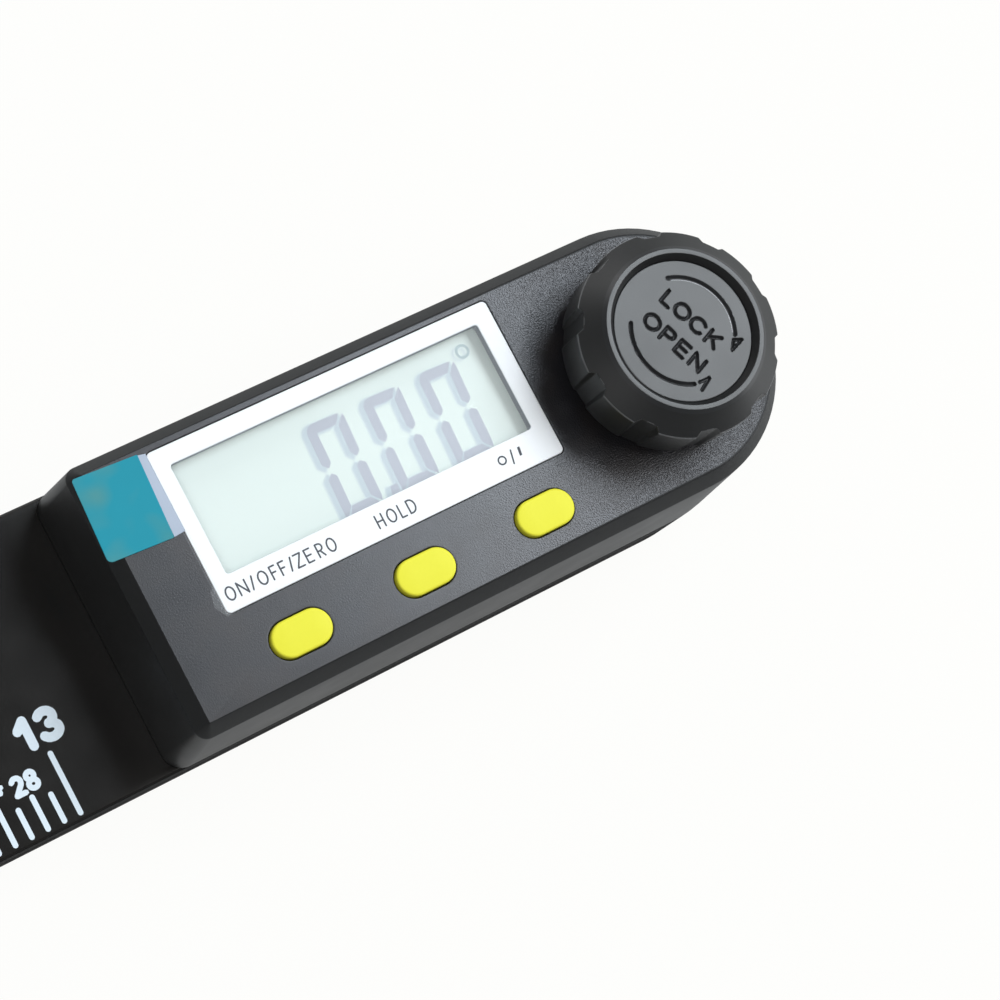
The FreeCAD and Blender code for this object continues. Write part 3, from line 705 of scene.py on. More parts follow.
def finish_piece(data: bpy.types.Mesh, finishes: list[Finish], body: str, slot: str, *nodes: str) -> None:
    """Makes the object of a finished mesh, gives it its finishes and hands it to the frame.

    Args:
        data: The mesh, in metres and in its final place.
        finishes: One finish for each material slot.
        body: The body that carries it.
        slot: Material slot of the record; not used.
        nodes: CAD nodes that it stands for.
    """
    for finish in finishes:
        data.materials.append(finish.material())
    piece = placed(data.name, data)
    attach(piece, body)
    if nodes:
        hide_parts(*nodes)
    low, high = (np.array([f(v.co[k] for v in data.vertices) for k in range(3)]) / MM for f in (min, max))
    LOG.info("%s: %d faces, from %s to %s mm", data.name, len(data.polygons), low.round(2), high.round(2))


# The arms and their scales


@dataclass(frozen=True)
class NumberRow:
    """One row of printed numbers; gap is added between numbers, and bows and ends are counts of chords."""

    foot: float
    height: float
    stroke: float
    cell: float
    gap: float = -0.02
    bows: int = 9
    ends: int = 3


class Unit(Enum):
    """The two units of the arms: tick step, tick width, inner end of each grade of tick and row of numbers."""

    INCH = (25.4 / 16, 0.5, {1: 10.25, 2: 9.75, 4: 8.87, 8: 8.0, 16: 7.03},
            NumberRow(-6.5, 3.33, 0.86, 1.62, 0.1, 14, 5))
    MILLIMETRE = (1.0, 0.24, {1: 11.6, 5: 10.7, 10: 10.0}, NumberRow(7.5, 2.0, 0.36, 0.95))


@dataclass
class Arm:
    """One flat arm with rounded edges, a rounded pivot end and printed scales on its upper face."""

    name: str
    body: str
    low: float
    thickness: float = 3.9
    reach: float = 394.0
    half: float = 13.8
    corner: float = 1.5
    edge: float = 0.32
    flat: float = 0.4
    side_rows: int = 11
    tick_end: float = 13.35
    scale_end: float = 330.3
    print_depth: float = 0.01
    print_rise: float = 0.012
    one_share: float = 0.78
    fraction_rows: tuple[Pair, ...] = ((-9.63, 2), (-8.75, 4), (-7.88, 8))

    @property
    def high(self) -> float:
        """Height of the upper face."""
        return self.low + self.thickness

    def holes(self) -> list[tuple[Outline, list[Triple]]]:
        """Holes through the arm, as an outline and a profile of (inset, z, corner radius) from top to foot."""
        return []

    def build(self) -> None:
        """Builds the plate, whose first rows are its side, and its prints."""
        skin = Skin()
        inset = self.edge + self.flat
        path = rounded([(inset, self.low, 0), (0, self.low, self.edge), (0, self.high, self.edge),
                        (inset, self.high, 0)], 6)
        ends = [skin.sweep(outline, rounded(corners)) for outline, corners in self.holes()]
        side = (np.arange(len(path) - 1) < self.side_rows).astype(int)[:, None]
        skin.solid(Outline.blade(-self.reach, self.half, self.corner), path, [top for top, _ in ends],
                   [foot for _, foot in ends], side)
        finish_piece(skin.mesh(self.name + "_blade"), [ARM, ARM_SIDE], self.body, "arm_plastic", self.name)
        for unit in Unit:
            self.rule(unit)

    def rule(self, unit: Unit) -> None:
        """Prints one scale: round-ended ticks on a shared foot line with numbers over the longer ones.

        Args:
            unit: Inches on the -Y edge, or millimetres on the +Y edge.
        """
        marking = Marking(self.high - self.print_depth, self.high + self.print_rise)
        step, width, tops, main = unit.value
        inch = unit is Unit.INCH
        count = int(self.scale_end / step + 1e-6)
        number = np.arange(1, count + 1)
        grade = np.max([np.where(number % size == 0, size, 0) for size in tops], axis=0)
        for size, top in tops.items():
            places = number[grade == size] * step - self.reach
            low, high = (-self.tick_end, -top) if inch else (top, self.tick_end)
            marking.stamp(capsules([line(0, low + width / 2, 0, high - width / 2)], width, 6),
                          np.column_stack([places, np.zeros(len(places))]))
        if inch:
            self.number(marking, {k: str(k // 16) for k in range(16, count + 1, 16)}, step, main)
            for foot, every in self.fraction_rows:
                texts = {k: str(2 * (k % 16)) for k in range(1, count) if k & -k == every}
                self.number(marking, texts, step, NumberRow(foot, 2.05, 0.5, 0.86))
        else:
            self.number(marking, {k: str(k) for k in range(10, count, 10)}, step, main)
        marking.finish(f"{self.name}_{unit.name.lower()}_scale", PRINT, self.body, "arm_plastic")

    def number(self, marking: Marking, texts: dict[int, str], step: float, row: NumberRow) -> None:
        """Prints numbers centred on their ticks.

        Args:
            marking: Where the slabs are gathered.
            texts: The text of each tick that has one.
            step: Distance between ticks.
            row: Place and size of the numbers.
        """
        core = row.height - row.stroke
        pitch = row.cell + row.stroke + row.gap
        spots: dict[str, list[Pair]] = {}
        for tick, text in texts.items():
            widths = [pitch * (self.one_share if sign == "1" else 1.0) for sign in text]
            left = tick * step - self.reach - sum(widths) / 2
            for sign, wide in zip(text, widths):
                spots.setdefault(sign, []).append((left + (wide - pitch) / 2, 0.0))
                left += wide
        shift = [(pitch - row.cell) / 2, row.foot + row.stroke / 2]
        for sign, places in spots.items():
            strokes = [stroke * core + shift for stroke in letter(sign, row.cell / core, row.bows)]
            marking.stamp(capsules(strokes, row.stroke, row.ends), places)


@dataclass
class UpperArm(Arm):
    """The arm that carries the head; its underside has the battery well and the screw passages."""

    well_x: float = -38.0
    well_r: float = 11.3
    well_floor: float = 5.62
    cell_r: float = 9.9
    screw_r: float = 1.85
    screw_neck: float = 0.7
    screw_depth: float = 1.6
    bush_r: float = 4.02
    screws: tuple[Pair, ...] = ((-50.2, 9.1), (-50.2, -9.1), (-10.6, 9.1), (-10.6, -9.1))

    def holes(self) -> list[tuple[Outline, list[Triple]]]:
        """Battery well with its ledge, stepped screw passages and the bush's seat."""

        def stepped(ledge: float, z: float) -> list[Triple]:
            """Profile that widens by the ledge at a height."""
            return [(ledge, self.high, 0), (ledge, z, 0), (0, z, 0), (0, self.low, 0.15), (-0.3, self.low, 0)]

        well = (Outline.circle(self.well_r, self.well_x), stepped(self.well_r - self.cell_r, self.well_floor))
        screws = [(Outline.circle(self.screw_r, x, y, 40), stepped(self.screw_neck, self.low + self.screw_depth))
                  for x, y in self.screws]
        bush = (Outline.circle(self.bush_r), [(0, self.high, 0), (0, self.low, 0.1), (-0.2, self.low, 0)])
        return [well, *screws, bush]


# The head


@dataclass
class Head:
    """Display housing: drafted wall, broad rim chamfer, roof with the display seat and three key holes."""

    low: float = 8.0
    high: float = 20.6
    rim: float = 19.1
    foot_left: float = 55.1
    half: float = 13.8
    corner: float = 1.9
    draft: float = 0.72
    rim_inset: float = 1.14
    wall: float = 1.5
    roof_low: float = 19.0
    seat_play: float = 0.07
    seat_floor: float = 19.6
    key_play: float = 0.1
    pivot_r: float = 2.9
    opening: Box = (-46.02, -13.62, -2.93, 9.92)

    def build(self, bezel: Bezel, keys: Keys) -> None:
        """Builds the closed shell.

        Args:
            bezel: The display bezel that sits in the roof.
            keys: The three keys that stand in the roof.
        """
        skin = Skin()
        top_inset = self.draft + self.rim_inset
        seat = Outline.rectangle(bezel.left - self.seat_play, bezel.right + self.seat_play,
                                 bezel.low - self.seat_play, bezel.high + self.seat_play,
                                 bezel.corner + self.seat_play)
        seat_top, seat_foot = skin.sweep(seat, rounded([(-0.12, self.high, 0), (0, self.high, 0.05),
                                                        (0, self.seat_floor, 0)], 4))
        window = skin.sweep(Outline.rectangle(*self.opening, 0.4),
                            np.array([(0, self.seat_floor), (0, self.roof_low)]))
        skin.level(seat_foot, [window[0]], self.seat_floor, True)
        rim = rounded([(-0.2, self.high, 0), (0, self.high, 0.1), (0, self.roof_low, 0)])
        ends = [skin.sweep(Outline.stadium(x, keys.y, keys.length + 2 * self.key_play,
                                           keys.width + 2 * self.key_play), rim) for x in keys.centres]
        ends.append(skin.sweep(Outline.circle(self.pivot_r, steps=48),
                               np.array([(0, self.high), (0, self.roof_low)])))
        path = rounded([(self.draft + self.wall, self.roof_low, 0), (self.wall, self.low, 0), (0, self.low, 0.18),
                        (self.draft, self.rim, 0.35), (top_inset, self.high, 0.3), (top_inset + 0.2, self.high, 0)], 6)
        skin.solid(Outline.blade(-self.foot_left, self.half, self.corner), path,
                   [seat_top] + [top for top, _ in ends], [window[1]] + [foot for _, foot in ends], 1)
        # The wall's slot is the side; the level faces keep the grained roof's.
        finish_piece(skin.mesh("head_housing", 34), [CASING, CASING_SIDE], "head", "casing", "head_cover")


class Label(Enum):
    """Function words on the bezel: text, then each sign's left and right centre line."""

    POWER = ("ON/OFF/ZERO", ((-46.75, -45.95), (-45.53, -44.75), (-44.32, -44.02), (-43.53, -42.72), (-42.25, -41.76),
                             (-41.35, -40.86), (-40.44, -40.14), (-39.82, -39.15), (-38.75, -38.2), (-37.6, -37.05),
                             (-36.58, -35.82)))
    HOLD = ("HOLD", ((-31.45, -30.82), (-30.33, -29.55), (-29.1, -28.62), (-28.2, -27.52)))

    def strokes(self, foot: float, height: float) -> list[Array]:
        """Centre lines of the word on a foot line, with letters of one height."""
        text, places = self.value
        return [stroke * height + [left, foot] for sign, (left, right) in zip(text, places)
                for stroke in letter(sign, (right - left) / height, 26)]


@dataclass
class Bezel:
    """White display frame with its window, printed function words, pane, film and tear-off tab."""

    left: float = -47.42
    right: float = -12.22
    low: float = -4.33
    high: float = 11.32
    foot: float = 19.6
    top: float = 20.6
    corner: float = 0.5
    window: Box = (-45.85, -14.03, -1.14, 9.57)
    pane: Pair = (19.75, 20.45)
    pane_play: float = 0.02
    label_foot: float = -3.35
    label_height: float = 1.19
    stroke: float = 0.158
    film: Pair = (20.602, 20.68)
    film_box: Box = (-47.4, -12.24, -4.31, 11.3)
    tab_top: float = 20.72
    tab_turn: float = -3.2
    tab_middle: Pair = (-51.38, 7.8)
    tab_half: Pair = (3.12, 3.95)
    tab_corners: tuple[Triple, ...] = ((1, -1, 0.15), (1, 1, 0.12), (-1, 1, 0.3), (-1, -1, 0.5))

    def build(self) -> None:
        """Builds the frame, whose lower inner wall carries a painted shade, then its print, the pane, the film and the
        tab.
        """
        skin = Skin()
        path = rounded([(0.15, self.foot, 0), (0, self.foot, 0.05), (0, self.top, 0.12), (0.25, self.top, 0)], 4)
        inner = rounded([(-0.2, self.top, 0), (0, self.top, 0.1), (0, self.foot, 0)], 4)
        # Painted shade: the lower rows of the window's inner wall take the grey finish in slot 1.
        shaded_rows = (np.arange(len(inner) - 1) >= len(inner) - 3).astype(int)[:, None]
        top, foot = skin.sweep(Outline.rectangle(*self.window, 0.3), inner, shaded_rows)
        skin.solid(Outline.rectangle(self.left, self.right, self.low, self.high, self.corner), path, [top], [foot])
        finish_piece(skin.mesh("bezel_frame"), [WHITE, BEZEL_WALL_SHADE], "head", "bezel_white", "display_bezel")
        self.print_words()
        left, right, low, high = self.window
        play = self.pane_play
        slab(Outline.rectangle(left + play, right - play, low + play, high - play, 0.28), self.pane, 0.08,
             "window_pane", PANE, "clear_pane", "display_pane")
        self.build_film()
        self.build_tab()

    def print_words(self) -> None:
        """Prints the function words and the signs for degree, slash and minute in thin round-ended strokes."""
        strokes = [stroke for label in Label for stroke in label.strokes(self.label_foot, self.label_height)]
        strokes += [arc(-18.11, -2.63, 0.37, 0.37, 0, 360, 28), line(-17.21, -3.34, -16.93, -2.1)]
        minute = line(-16.36, -2.95, -16.1, -2.95, -15.98, -2.13, -16.24, -2.13)
        words = Marking(self.top - 0.01, self.top + 0.01)
        words.stamp(capsules(strokes, self.stroke) + [minute]).finish("bezel_words", INK, "head", "bezel_white")

    def build_film(self) -> None:
        """Clear protective film over bezel and window, with a flat ear past its lower left corner and a neck to the
        tab.
        """
        body = Outline.rectangle(*self.film_box, 0.4, 4).loop()
        ear = line(-47.56, -4.47, -45.9, -4.3, -47.3, -1.4, -47.9, -1.9, -48.2, -3.3)
        neck = line(-48.46, 3.72, -47.36, 3.82, -47.36, 11.34, -48.12, 11.5)
        Marking(*self.film).stamp([body, ear]).finish("cover_film", FILM, "head", "clear_film", "screen_film")
        Marking(*self.film).stamp([neck]).finish("film_neck", NECK, "head", "clear_film")

    def build_tab(self) -> None:
        """Tear-off tab: a thin sheet with round corners, turned a little about its middle."""
        turn = math.radians(self.tab_turn)
        x0, y0 = self.tab_middle
        cos, sin = math.cos(turn), math.sin(turn)
        arcs = []
        for k, (i, j, radius) in enumerate(self.tab_corners):
            x, y = i * (self.tab_half[0] - radius), j * (self.tab_half[1] - radius)
            arcs.append((x0 + x * cos - y * sin, y0 + x * sin + y * cos, radius,
                         90 * k - 90 + self.tab_turn, 90 * k + self.tab_turn))
        slab(Outline(tuple(arcs), 6), (self.film[0], self.tab_top), 0.03, "film_pull_tab", TAB, "tab_film", "film_tab")


def slab(outline: Outline, span: Pair, edge: float, name: str, finish: Finish, slot: str, node: str) -> None:
    """Flat plate of the head with rounded edges: the outline swept with a profile whose two corners are arcs.

    Args:
        outline: The plate seen from above.
        span: Lower and upper face.
        edge: Radius of the edges.
        name: Name of the piece.
        finish: Its finish.
        slot: Material slot of the record.
        node: CAD node that it stands for.
    """
    skin = Skin()
    inset, (low, high) = edge + 0.05, span
    skin.solid(outline, rounded([(inset, low, 0), (0, low, edge), (0, high, edge), (inset, high, 0)], 4), [], [])
    finish_piece(skin.mesh(name), [finish], "head", slot, node)


@dataclass
class Display:
    """Liquid crystal panel: pale face with soft digit shadows, lit segments and a degree ring."""

    left: float = -46.45
    right: float = -13.43
    low: float = -3.24
    high: float = 10.17
    foot: float = 17.2
    top: float = 19.0
    digit_right: float = -28.92
    pitch: float = 5.93
    digit_middle: float = 3.35
    slant: float = 0.041
    slant_height: float = 4.0
    cell: float = 0.085
    ring: Box = (-15.86, 8.1, 0.57, 0.26)
    shadow: Pair = (-0.46, -0.07)
    shade_depth: float = 0.85
    blur: float = 0.35
    ring_shade: Triple = (0.6, 0.4, 0.5)

    def loops(self) -> list[Array]:
        """All lit shapes: three noughts of five bars about their right edges at mid height, and the point.

        Returns:
            Closed loops, where x moves with height by the slant.
        """
        crown = np.concatenate([line(-3.9, 0.72, -3.4, 0.25, -3.02, 0.68, -3.02, 3.55, -1.02, 3.55, -0.42, 4.42,
                                     -3.1, 4.5), arc(-3.1, 3.7, 0.8, 0.8, 90, 180, 6)])
        bars = (crown, line(-0.93, 0.72, -0.5, 0.24, -0.06, 0.62, 0, 3.9, -0.06, 4.28, -0.86, 3.4),
                line(-0.93, -3.45, -0.12, -4.35, 0, -3.9, 0, -0.62, -0.5, -0.24, -0.93, -0.62),
                line(-3.95, -4.3, -3.75, -4.45, -3.05, -3.6, -3.02, -0.62, -3.42, -0.24, -3.95, -0.72),
                line(-3.5, -4.5, -0.3, -4.5, -1.05, -3.62, -2.95, -3.62))
        found = []
        for right in self.digit_right + self.pitch * np.arange(3):
            for x, y in (bar.T for bar in bars):
                found.append(np.stack([right + x + self.slant * (y - self.slant_height), self.digit_middle + y], 1))
        return found + [line(-28.4, -1.1, -27.55, -1.1, -27.42, -0.2, -28.15, -0.2)]

    def build(self) -> None:
        """Builds the panel with its shade attribute, then the segments and the degree ring."""
        self.build_panel()
        x, y, radius, width = self.ring
        circle = capsules([arc(x, y, radius, radius, 0, 360, 40)], width)
        for name, shapes, finish in (("segments", self.loops(), SEGMENT), ("degree", circle, RING)):
            lit = Marking(self.top - 0.005, self.top + 0.015)
            lit.stamp(shapes).finish("display_" + name, finish, "head", "display_glass")

    def build_panel(self) -> None:
        """Panel: a fine level grid carries the shade, a wall and a level face close it below.

        The shade at a point is the largest of the shifted segments' soft masks, each the depth less its distance
        to the shape over the blur.
        """
        cols = int((self.right - self.left) / self.cell)
        rows = int((self.high - self.low) / self.cell)
        x, y = np.meshgrid(np.linspace(self.left, self.right, cols + 1), np.linspace(self.low, self.high, rows + 1))
        across, up = x - self.shadow[0], y - self.shadow[1]
        shade = np.zeros(x.shape)
        for loop in self.loops():
            away = outside_distance(across, up, loop)
            shade = np.maximum(shade, np.clip(self.shade_depth - away / self.blur, 0, self.shade_depth))
        ring_x, ring_y, radius, _ = self.ring
        depth, blur, most = self.ring_shade
        away = np.abs(np.hypot(across - ring_x, up - ring_y) - radius)
        shade = np.maximum(shade, np.clip(depth - away / blur, 0, most))
        skin = Skin()
        skin.relief(np.stack([x, y, np.full(x.shape, self.top)], axis=-1), self.foot)
        data = skin.mesh("display_panel")
        spots = np.empty(len(data.vertices) * 3)
        data.vertices.foreach_get("co", spots)
        spots = spots.reshape(-1, 3) / MM
        col = np.rint((spots[:, 0] - self.left) / (self.right - self.left) * cols).astype(int)
        row = np.rint((spots[:, 1] - self.low) / (self.high - self.low) * rows).astype(int)
        layer = data.attributes.new("shade", "FLOAT", "POINT")
        layer.data.foreach_set("value", np.clip(shade[row, col], 0, 1).astype(np.float32))
        finish_piece(data, [LCD], "head", "display_glass", "lcd_panel")


@dataclass
class Keys:
    """The three yellow keys: straight-sided ovals with rounded edges, a slight crown and a hidden flange."""

    centres: Triple = (-42.4, -29.65, -16.9)
    names: tuple[str, str, str] = ("power", "hold", "unit")
    y: float = -8.57
    length: float = 5.8
    width: float = 3.4
    foot: float = 17.0
    flange_top: float = 18.35
    flange_reach: float = 0.6
    top: float = 21.2
    edge: float = 0.24
    crown: float = 0.08
    brow: float = 0.015

    def build(self) -> None:
        """Builds the keys; the crown falls with the square of the distance from the middle line."""
        shoulder, inset = self.top - self.crown, self.edge + 0.02
        wall = rounded([(-self.flange_reach, self.foot, 0), (-self.flange_reach, self.flange_top, 0.1),
                        (0, self.flange_top, 0), (0, shoulder, self.edge), (inset, shoulder + self.brow, 0)], 8)
        inset = np.linspace(inset, self.width / 2 - 0.05, 9)[1:]
        share = (self.width / 2 - inset) / (self.width / 2 - self.edge)
        dome = np.column_stack([inset, self.top - (self.crown - self.brow) * share ** 2])
        for name, x in zip(self.names, self.centres):
            skin = Skin()
            skin.solid(Outline.stadium(x, self.y, self.length, self.width, 28), np.concatenate([wall, dome]), [], [])
            finish_piece(skin.mesh("key_" + name, 40), [YELLOW], name + "_key", "button_yellow", "button_" + name)


# The lock knob


@dataclass
class Knob:
    """Scalloped knob: collar, fluted wall, coned crown, raised ring and a dish for the cap."""

    low: float = 21.2
    collar_r: float = 6.5
    skirt_low: float = 22.4
    skirt_r: float = 9.5
    shoulder_r: float = 9.75
    shoulder_z: float = 27.5
    crown_r: float = 7.65
    top: float = 29.3
    ring_inner: float = 7.1
    dish_r: float = 6.68
    dish_z: float = 28.6
    pocket_z: float = 27.5
    bore: float = 2.9
    lobes: int = 10
    phase: float = 4.9
    flute_r: float = 9.22
    flute_half: float = 0.8
    flute_slope: float = 1.35
    blend: float = 0.06
    crown_step: float = 0.08
    wall_step: float = 1.2

    def build(self) -> None:
        """Builds the body: a turned profile whose radius gives way to the flutes.

        A flute's floor stands at its own radius, and past its half width its sides rise by the slope times the
        distance across; the radius is the smooth least of that and the profile's own.
        """
        cone = rounded([(self.bore, self.low, 0), (self.collar_r, self.low, 0.15), (self.collar_r, self.skirt_low, 0.1),
                        (self.skirt_r, self.skirt_low, 0.3), (self.shoulder_r, self.shoulder_z, 0.22),
                        (self.crown_r, self.top - 0.08, 0.1), (self.crown_r - 0.1, self.top, 0.06),
                        (self.ring_inner + 0.02, self.top, 0.08), (self.dish_r + 0.14, self.dish_z + 0.22, 0.06),
                        (self.dish_r, self.dish_z, 0.03), (self.dish_r, self.pocket_z, 0.0),
                        (self.bore, self.pocket_z, 0.0), (self.bore, self.low, 0)], 6)
        profile = self.refine(cone)
        radius, height = profile[:, :1], profile[:, 1:]
        angle = self.angles()
        off = np.radians((np.degrees(angle) - self.phase + 180 / self.lobes) % (360 / self.lobes) - 180 / self.lobes)
        across = np.abs(self.flute_r * np.sin(off)) - self.flute_half
        flute = self.flute_r + self.flute_slope * (across + np.sqrt(across ** 2 + 0.006)) / 2
        gap = np.clip(0.5 + 0.5 * (flute - radius) / self.blend, 0, 1)
        mixed = radius * gap + flute * (1 - gap) - self.blend * gap * (1 - gap)
        outer = (height > self.skirt_low - 0.01) & (radius > self.flute_r - 0.5)
        reach = np.where(outer, np.minimum(mixed, radius), radius)
        grid = np.stack([reach * np.cos(angle), reach * np.sin(angle), np.broadcast_to(height, reach.shape)], axis=-1)
        # Painted highlight: faces along the flutes' edges and the shoulder take the lighter edge finish in slot 2.
        flute_edge = (height > self.shoulder_z - 0.1) & (gap > 0.1) & (gap < 0.9)
        shoulder = (np.abs(height - self.shoulder_z) < 0.1) & (gap > 0.8)
        highlight_edge = (flute_edge | shoulder) & outer
        mark = np.where(highlight_edge[:-1] & highlight_edge[1:], 2, 0)
        crest = np.flatnonzero(profile[:, 1] > self.top - 0.3)
        mark[crest[0]:crest[-1]] = 1
        skin = Skin()
        skin.grid(grid, mark=mark)
        finish_piece(skin.mesh("knob_body", 38), [KNOB, CREST, KNOB_EDGE_HIGHLIGHT], "knob", "knob_plastic", "lock_knob")

    def refine(self, profile: Array) -> Array:
        """Adds points on the long runs of the profile, so that the flutes' ends are drawn finely.

        Args:
            profile: Rows of (radius, z).

        Returns:
            The profile with no run longer than one step, which is finer on the crown.
        """
        out = [profile[:1]]
        for start, end in zip(profile[:-1], profile[1:]):
            crown = min(start[1], end[1]) > self.shoulder_z - 0.8 and max(start[0], end[0]) > self.crown_r
            length = float(np.linalg.norm(end - start))
            pieces = max(1, int(math.ceil(length / (self.crown_step if crown else self.wall_step))))
            out.append(start + (end - start) * np.linspace(0, 1, pieces + 1)[1:, None])
        return np.concatenate(out)

    def angles(self) -> Array:
        """Angles round the knob, closer together near the flutes' edges."""
        foot = math.degrees(self.flute_half / self.flute_r)
        brow = foot + math.degrees((self.shoulder_r - self.flute_r) / self.flute_slope / self.flute_r)
        side = np.concatenate([np.linspace(0, foot - 0.7, 4)[:-1], np.linspace(foot - 0.7, brow + 1.1, 24)[:-1],
                               np.linspace(brow + 1.1, 180 / self.lobes, 6)])
        one = np.concatenate([-side[:0:-1], side[:-1]])
        return np.radians((self.phase + 360 / self.lobes * np.arange(self.lobes)[:, None] + one[None]).ravel())


@dataclass
class Cap:
    """Knob cap: a disc with engraved function words, two arcs and their arrowheads."""

    radius: float = 6.65
    low: float = 27.52
    high: float = 28.6
    reading: float = -68.0
    cells: int = 262
    depth: float = 0.32
    letter_half: float = 0.165
    letter_height: float = 1.36
    arc_half: float = 0.19
    arc_r: float = 5.02
    arc_y: float = 0.03
    head_half: float = 0.15
    rim: float = 0.1
    words: tuple = (("LOCK", 0.72, ((-3.3, -2.42), (-1.92, -0.45), (0.02, 1.5), (2.0, 3.12))),
                    ("OPEN", -2.1, ((-3.36, -1.88), (-1.28, -0.22), (0.46, 1.5), (2.22, 3.38))))

    def strokes(self) -> list[tuple[Array, float]]:
        """Centre lines of the engraving in reading direction with their half widths."""
        tall = self.letter_height
        lines = [(stroke * tall + [left, foot], self.letter_half) for text, foot, places in self.words
                 for sign, (left, right) in zip(text, places) for stroke in letter(sign, (right - left) / tall, 32)]
        for start, end in ((145, 40), (216.4, 319.6)):
            lines.append((arc(0, self.arc_y, self.arc_r, self.arc_r, start, end, 48), self.arc_half))
        lines.append((line(4.6, 3.33, 4.03, 2.76, 4.53, 1.9, 4.6, 3.33), self.head_half))
        lines.append((line(4.1, -2.71, 4.53, -1.74, 4.71, -3.17), self.head_half))
        return lines

    def build(self) -> None:
        """Builds the disc.

        A square grid is drawn to the disc by x = u sqrt(1 - v^2/2), y = v sqrt(1 - u^2/2); the height falls
        by the depth times (1 - distance to the nearest stroke / half width) to the power 0.6.
        A thin band on the inner side of the first arc gets a pale finish as a painted highlight.
        """
        u, v = np.meshgrid(np.linspace(-1, 1, self.cells), np.linspace(-1, 1, self.cells))
        x = self.radius * u * np.sqrt(1 - v ** 2 / 2)
        y = self.radius * v * np.sqrt(1 - u ** 2 / 2)
        turn = math.radians(self.reading)
        across, up = x * math.cos(turn) + y * math.sin(turn), -x * math.sin(turn) + y * math.cos(turn)
        cut = np.max([np.clip(1 - nearest(across, up, stroke) / half, 0, 1) for stroke, half in self.strokes()],
                     axis=0) ** 0.6
        fall = np.clip((np.hypot(x, y) - self.radius + self.rim) / self.rim, 0, 1)
        top = np.stack([x, y, self.high - self.depth * cut - 0.05 * fall ** 2], axis=-1)
        reach, bearing = np.hypot(across, up - self.arc_y), np.degrees(np.arctan2(up, across))
        # Painted highlight: a thin band along the inner side of the first arc, where the groove's far wall would catch
        # the light.
        arc_highlight = (np.abs(reach - self.arc_r + self.arc_half + 0.05) < 0.06) & (bearing > 42) & (bearing < 142)
        skin = Skin()
        skin.relief(top, self.low, arc_highlight[:-1, :-1].astype(int))
        finish_piece(skin.mesh("knob_cap_disc", 60), [CAP, CAP_ARC_HIGHLIGHT], "knob", "cap_plastic", "knob_cap")


@dataclass
class BatteryCover:
    """Round cover under the upper arm: rounded rim, coin slot and a printed turn arrow."""

    x: float = -38.0
    radius: float = 11.2
    low: float = 4.1
    high: float = 5.5
    rim: float = 0.4
    slot_length: float = 13.0
    slot_width: float = 1.8
    slot_depth: float = 0.7
    arrow_r: float = 9.0

    def build(self) -> None:
        """Builds the disc; the slot is sunk in its outer face and the arrow is printed on it."""
        skin = Skin()
        floor = self.low + self.slot_depth
        well = rounded([(0, floor, 0), (0, self.low, 0.12), (-0.2, self.low, 0)], 4)
        slot = skin.sweep(Outline.stadium(self.x, 0, self.slot_length, self.slot_width, 12), well)
        skin.level(slot[0], [], floor, False)
        path = rounded([(self.rim, self.low, 0), (0, self.low, 0.2), (0, self.high, 0.1), (self.rim, self.high, 0)])
        skin.solid(Outline.circle(self.radius, self.x), path, [], [slot[1]])
        finish_piece(skin.mesh("battery_lid"), [COVER], "cover", "cover_plastic", "battery_cover")
        bow = arc(self.x, 0, self.arrow_r, self.arrow_r, 205, 245, 24)
        tip = bow[-1]
        side = (tip - [self.x, 0]) / self.arrow_r
        ahead = np.array([-side[1], side[0]])
        head = np.stack([tip + side * 0.55, tip + ahead * 1.2, tip - side * 0.55])
        arrow = Marking(self.low - 0.012, self.low + 0.01)
        arrow.stamp(capsules([bow], 0.35) + [head]).finish("battery_lid_arrow", PRINT, "cover", "cover_plastic")


# Studio


@dataclass(frozen=True)
class Lamp:
    """One soft square lamp that looks at the display head."""

    name: str
    place: Triple
    size: float
    power: float
    colour: Triple = (1.0, 1.0, 1.0)
    target: Triple = (-30, 0, 10)

    def build(self) -> None:
        """Makes the light and turns it towards the head."""
        light = bpy.data.lights.new(self.name, "AREA")
        light.shape = "SQUARE"
        light.size = self.size * MM
        light.energy = self.power
        light.color = self.colour
        lamp = placed(self.name, light)
        lamp.location = Vector(self.place) * MM
        lamp.rotation_euler = (Vector(self.target) - Vector(self.place)).to_track_quat("-Z", "Y").to_euler()


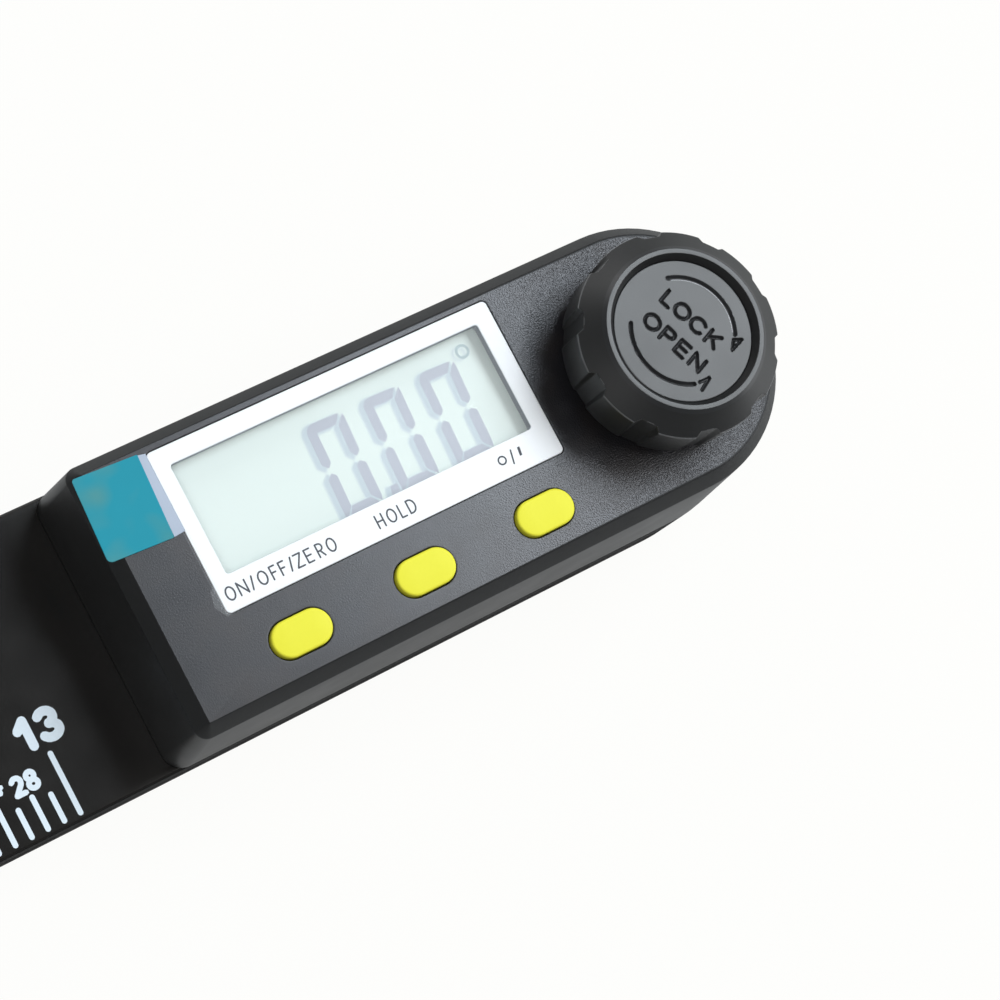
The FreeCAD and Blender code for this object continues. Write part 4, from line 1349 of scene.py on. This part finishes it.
@dataclass
class Studio:
    """Floor with an upturned rim, soft lamps and the camera."""

    floor_x: float = -190.0
    floor_z: float = -0.02
    floor_r: float = 1400.0
    rim_height: float = 700.0
    rim_power: float = 2.2
    spokes: int = 96
    paper: tuple = ((0.66, 0.66, 0.65, 1), (0.7, 0.7, 0.69, 1))
    world: float = 0.17
    keep_shadow: float = 0.05
    mirror_white: float = 0.15
    centre: Triple = (-117.398, -26.144, 253.793)
    right: Triple = (0.8294671654, -0.4678388340, 0.3051410280)
    down: Triple = (-0.4057958135, -0.8801393820, -0.2463420914)
    ahead: Triple = (0.3838150326, 0.0805077246, -0.9198937585)
    focal_px: float = 2834.942
    frame_px: float = 1000.0
    lamps: tuple[Lamp, ...] = (
        Lamp("sheen", (362, 128, 612), 340, 3.35, (0.88, 0.95, 1.0)),
        Lamp("side", (330, -150, 600), 340, 1.1, (1.0, 0.985, 0.96)),
        Lamp("back", (0, 560, 300), 340, 0.8),
        Lamp("low", (560, -330, 160), 340, 1.0, (0.95, 0.98, 1.0)),
        Lamp("left", (-300, -60, 560), 260, 1.1),
    )

    def build(self) -> None:
        """Sets the floor, the world, the lamps and the camera."""
        self.build_floor()
        world = bpy.data.worlds.new("studio")
        world.use_nodes = True
        Graph(world.node_tree).feed(world.node_tree.nodes["Background"],
                                    {"Color": (1.0, 1.0, 1.0, 1.0), "Strength": self.world})
        bpy.context.scene.world = world
        for lamp in self.lamps:
            lamp.build()
        self.build_camera()

    def pale(self, graph: Graph, shader: Socket) -> Socket:
        """Shows plain white to camera, glossy and transmission rays over a shader that keeps the shadow.

        Args:
            graph: The node tree.
            shader: What the lamps light.

        Returns:
            The mixed shader.
        """
        path = graph.node("LightPath").outputs
        most = 1.0 - self.keep_shadow
        camera, glossy, through = (
            graph.maths("MULTIPLY", path[label], share) for label, share in
            (("Is Camera Ray", most), ("Is Glossy Ray", self.mirror_white), ("Is Transmission Ray", most)))
        seen = graph.maths("MAXIMUM", graph.maths("MAXIMUM", camera, glossy), through)
        white = graph.node("Emission", {"Color": (1.0, 1.0, 0.985, 1.0), "Strength": 1.0})
        return graph.node("MixShader", {0: seen, 1: shader, 2: white.outputs[0]}).outputs[0]

    def build_floor(self) -> None:
        """Floor: a disc that turns up at its rim, its height rising with a power of the radius past half."""
        share = np.concatenate([np.linspace(0, 0.5, 8)[1:], np.linspace(0.5, 1, 25)[1:]])[:, None]
        angle = np.linspace(0, 2 * math.pi, self.spokes + 1)[:-1]
        height = self.rim_height * np.clip(share * 2 - 1, 0, 1) ** self.rim_power + self.floor_z
        grid = np.stack([share * self.floor_r * np.cos(angle) + self.floor_x, share * self.floor_r * np.sin(angle),
                         np.broadcast_to(height, (len(share), self.spokes))], axis=-1)
        skin = Skin()
        skin.grid(grid[::-1])
        skin.level(grid[0, :, :2], [], self.floor_z, True)
        data = skin.mesh("floor", 80)
        stuff = bpy.data.materials.new("floor_paper")
        stuff.use_nodes = True
        graph, nodes = Graph(stuff.node_tree), stuff.node_tree.nodes
        place = graph.node("TexCoord").outputs["Object"]
        cloud = graph.node("TexNoise", {"Vector": place, "Scale": 6.0}).outputs["Fac"]
        ramp = graph.node("ValToRGB", {"Fac": cloud})
        for stop, colour in zip(ramp.color_ramp.elements, self.paper):
            stop.color = colour
        shader = nodes["Principled BSDF"]
        graph.feed(shader, {"Roughness": 0.8, "Base Color": ramp.outputs["Color"]})
        graph.feed(nodes["Material Output"], {"Surface": self.pale(graph, shader.outputs[0])})
        data.materials.append(stuff)
        floor = placed("floor", data)

    def build_camera(self) -> None:
        """Camera of the photograph: its axes are the fitted right, up and backward directions."""
        data = bpy.data.cameras.new("camera")
        data.sensor_width = 36.0
        data.lens = self.focal_px * data.sensor_width / self.frame_px
        data.clip_start, data.clip_end = 0.01, 20.0
        camera = placed("camera", data)
        axes = Matrix((self.right, [-v for v in self.down], [-v for v in self.ahead])).transposed()
        camera.matrix_world = Matrix.Translation(Vector(self.centre) * MM) @ axes.to_4x4()
        bpy.context.scene.camera = camera


def dress_kept_nodes(frame: dict) -> None:
    """Gives every CAD node the finish of its material slot.

    Args:
        frame: The loaded frame.
    """
    slots = {row["node"]: row["material_slot"] for row in frame["record"]["subparts"]}
    for name, node in frame["nodes"].items():
        stuff = INNER[slots[name]].material()
        if not node.material_slots:
            node.data.materials.append(stuff)
        for slot in node.material_slots:
            slot.material = stuff
    LOG.info("%d CAD nodes dressed", len(frame["nodes"]))


def main() -> None:
    """Builds the angle finder piece by piece."""
    logging.basicConfig(level=logging.INFO, format="%(message)s")
    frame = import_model()
    dress_kept_nodes(frame)
    bezel, keys = Bezel(), Keys()
    UpperArm("upper_arm", "head", 4.1).build()
    Arm("lower_arm", "turning_arm", 0.0).build()
    Head().build(bezel, keys)
    for piece in (bezel, Display(), keys, Knob(), Cap(), BatteryCover(), Studio()):
        piece.build()
    bpy.context.scene.view_settings.view_transform = "Standard"
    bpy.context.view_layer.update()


if __name__ == "__main__":
    main()
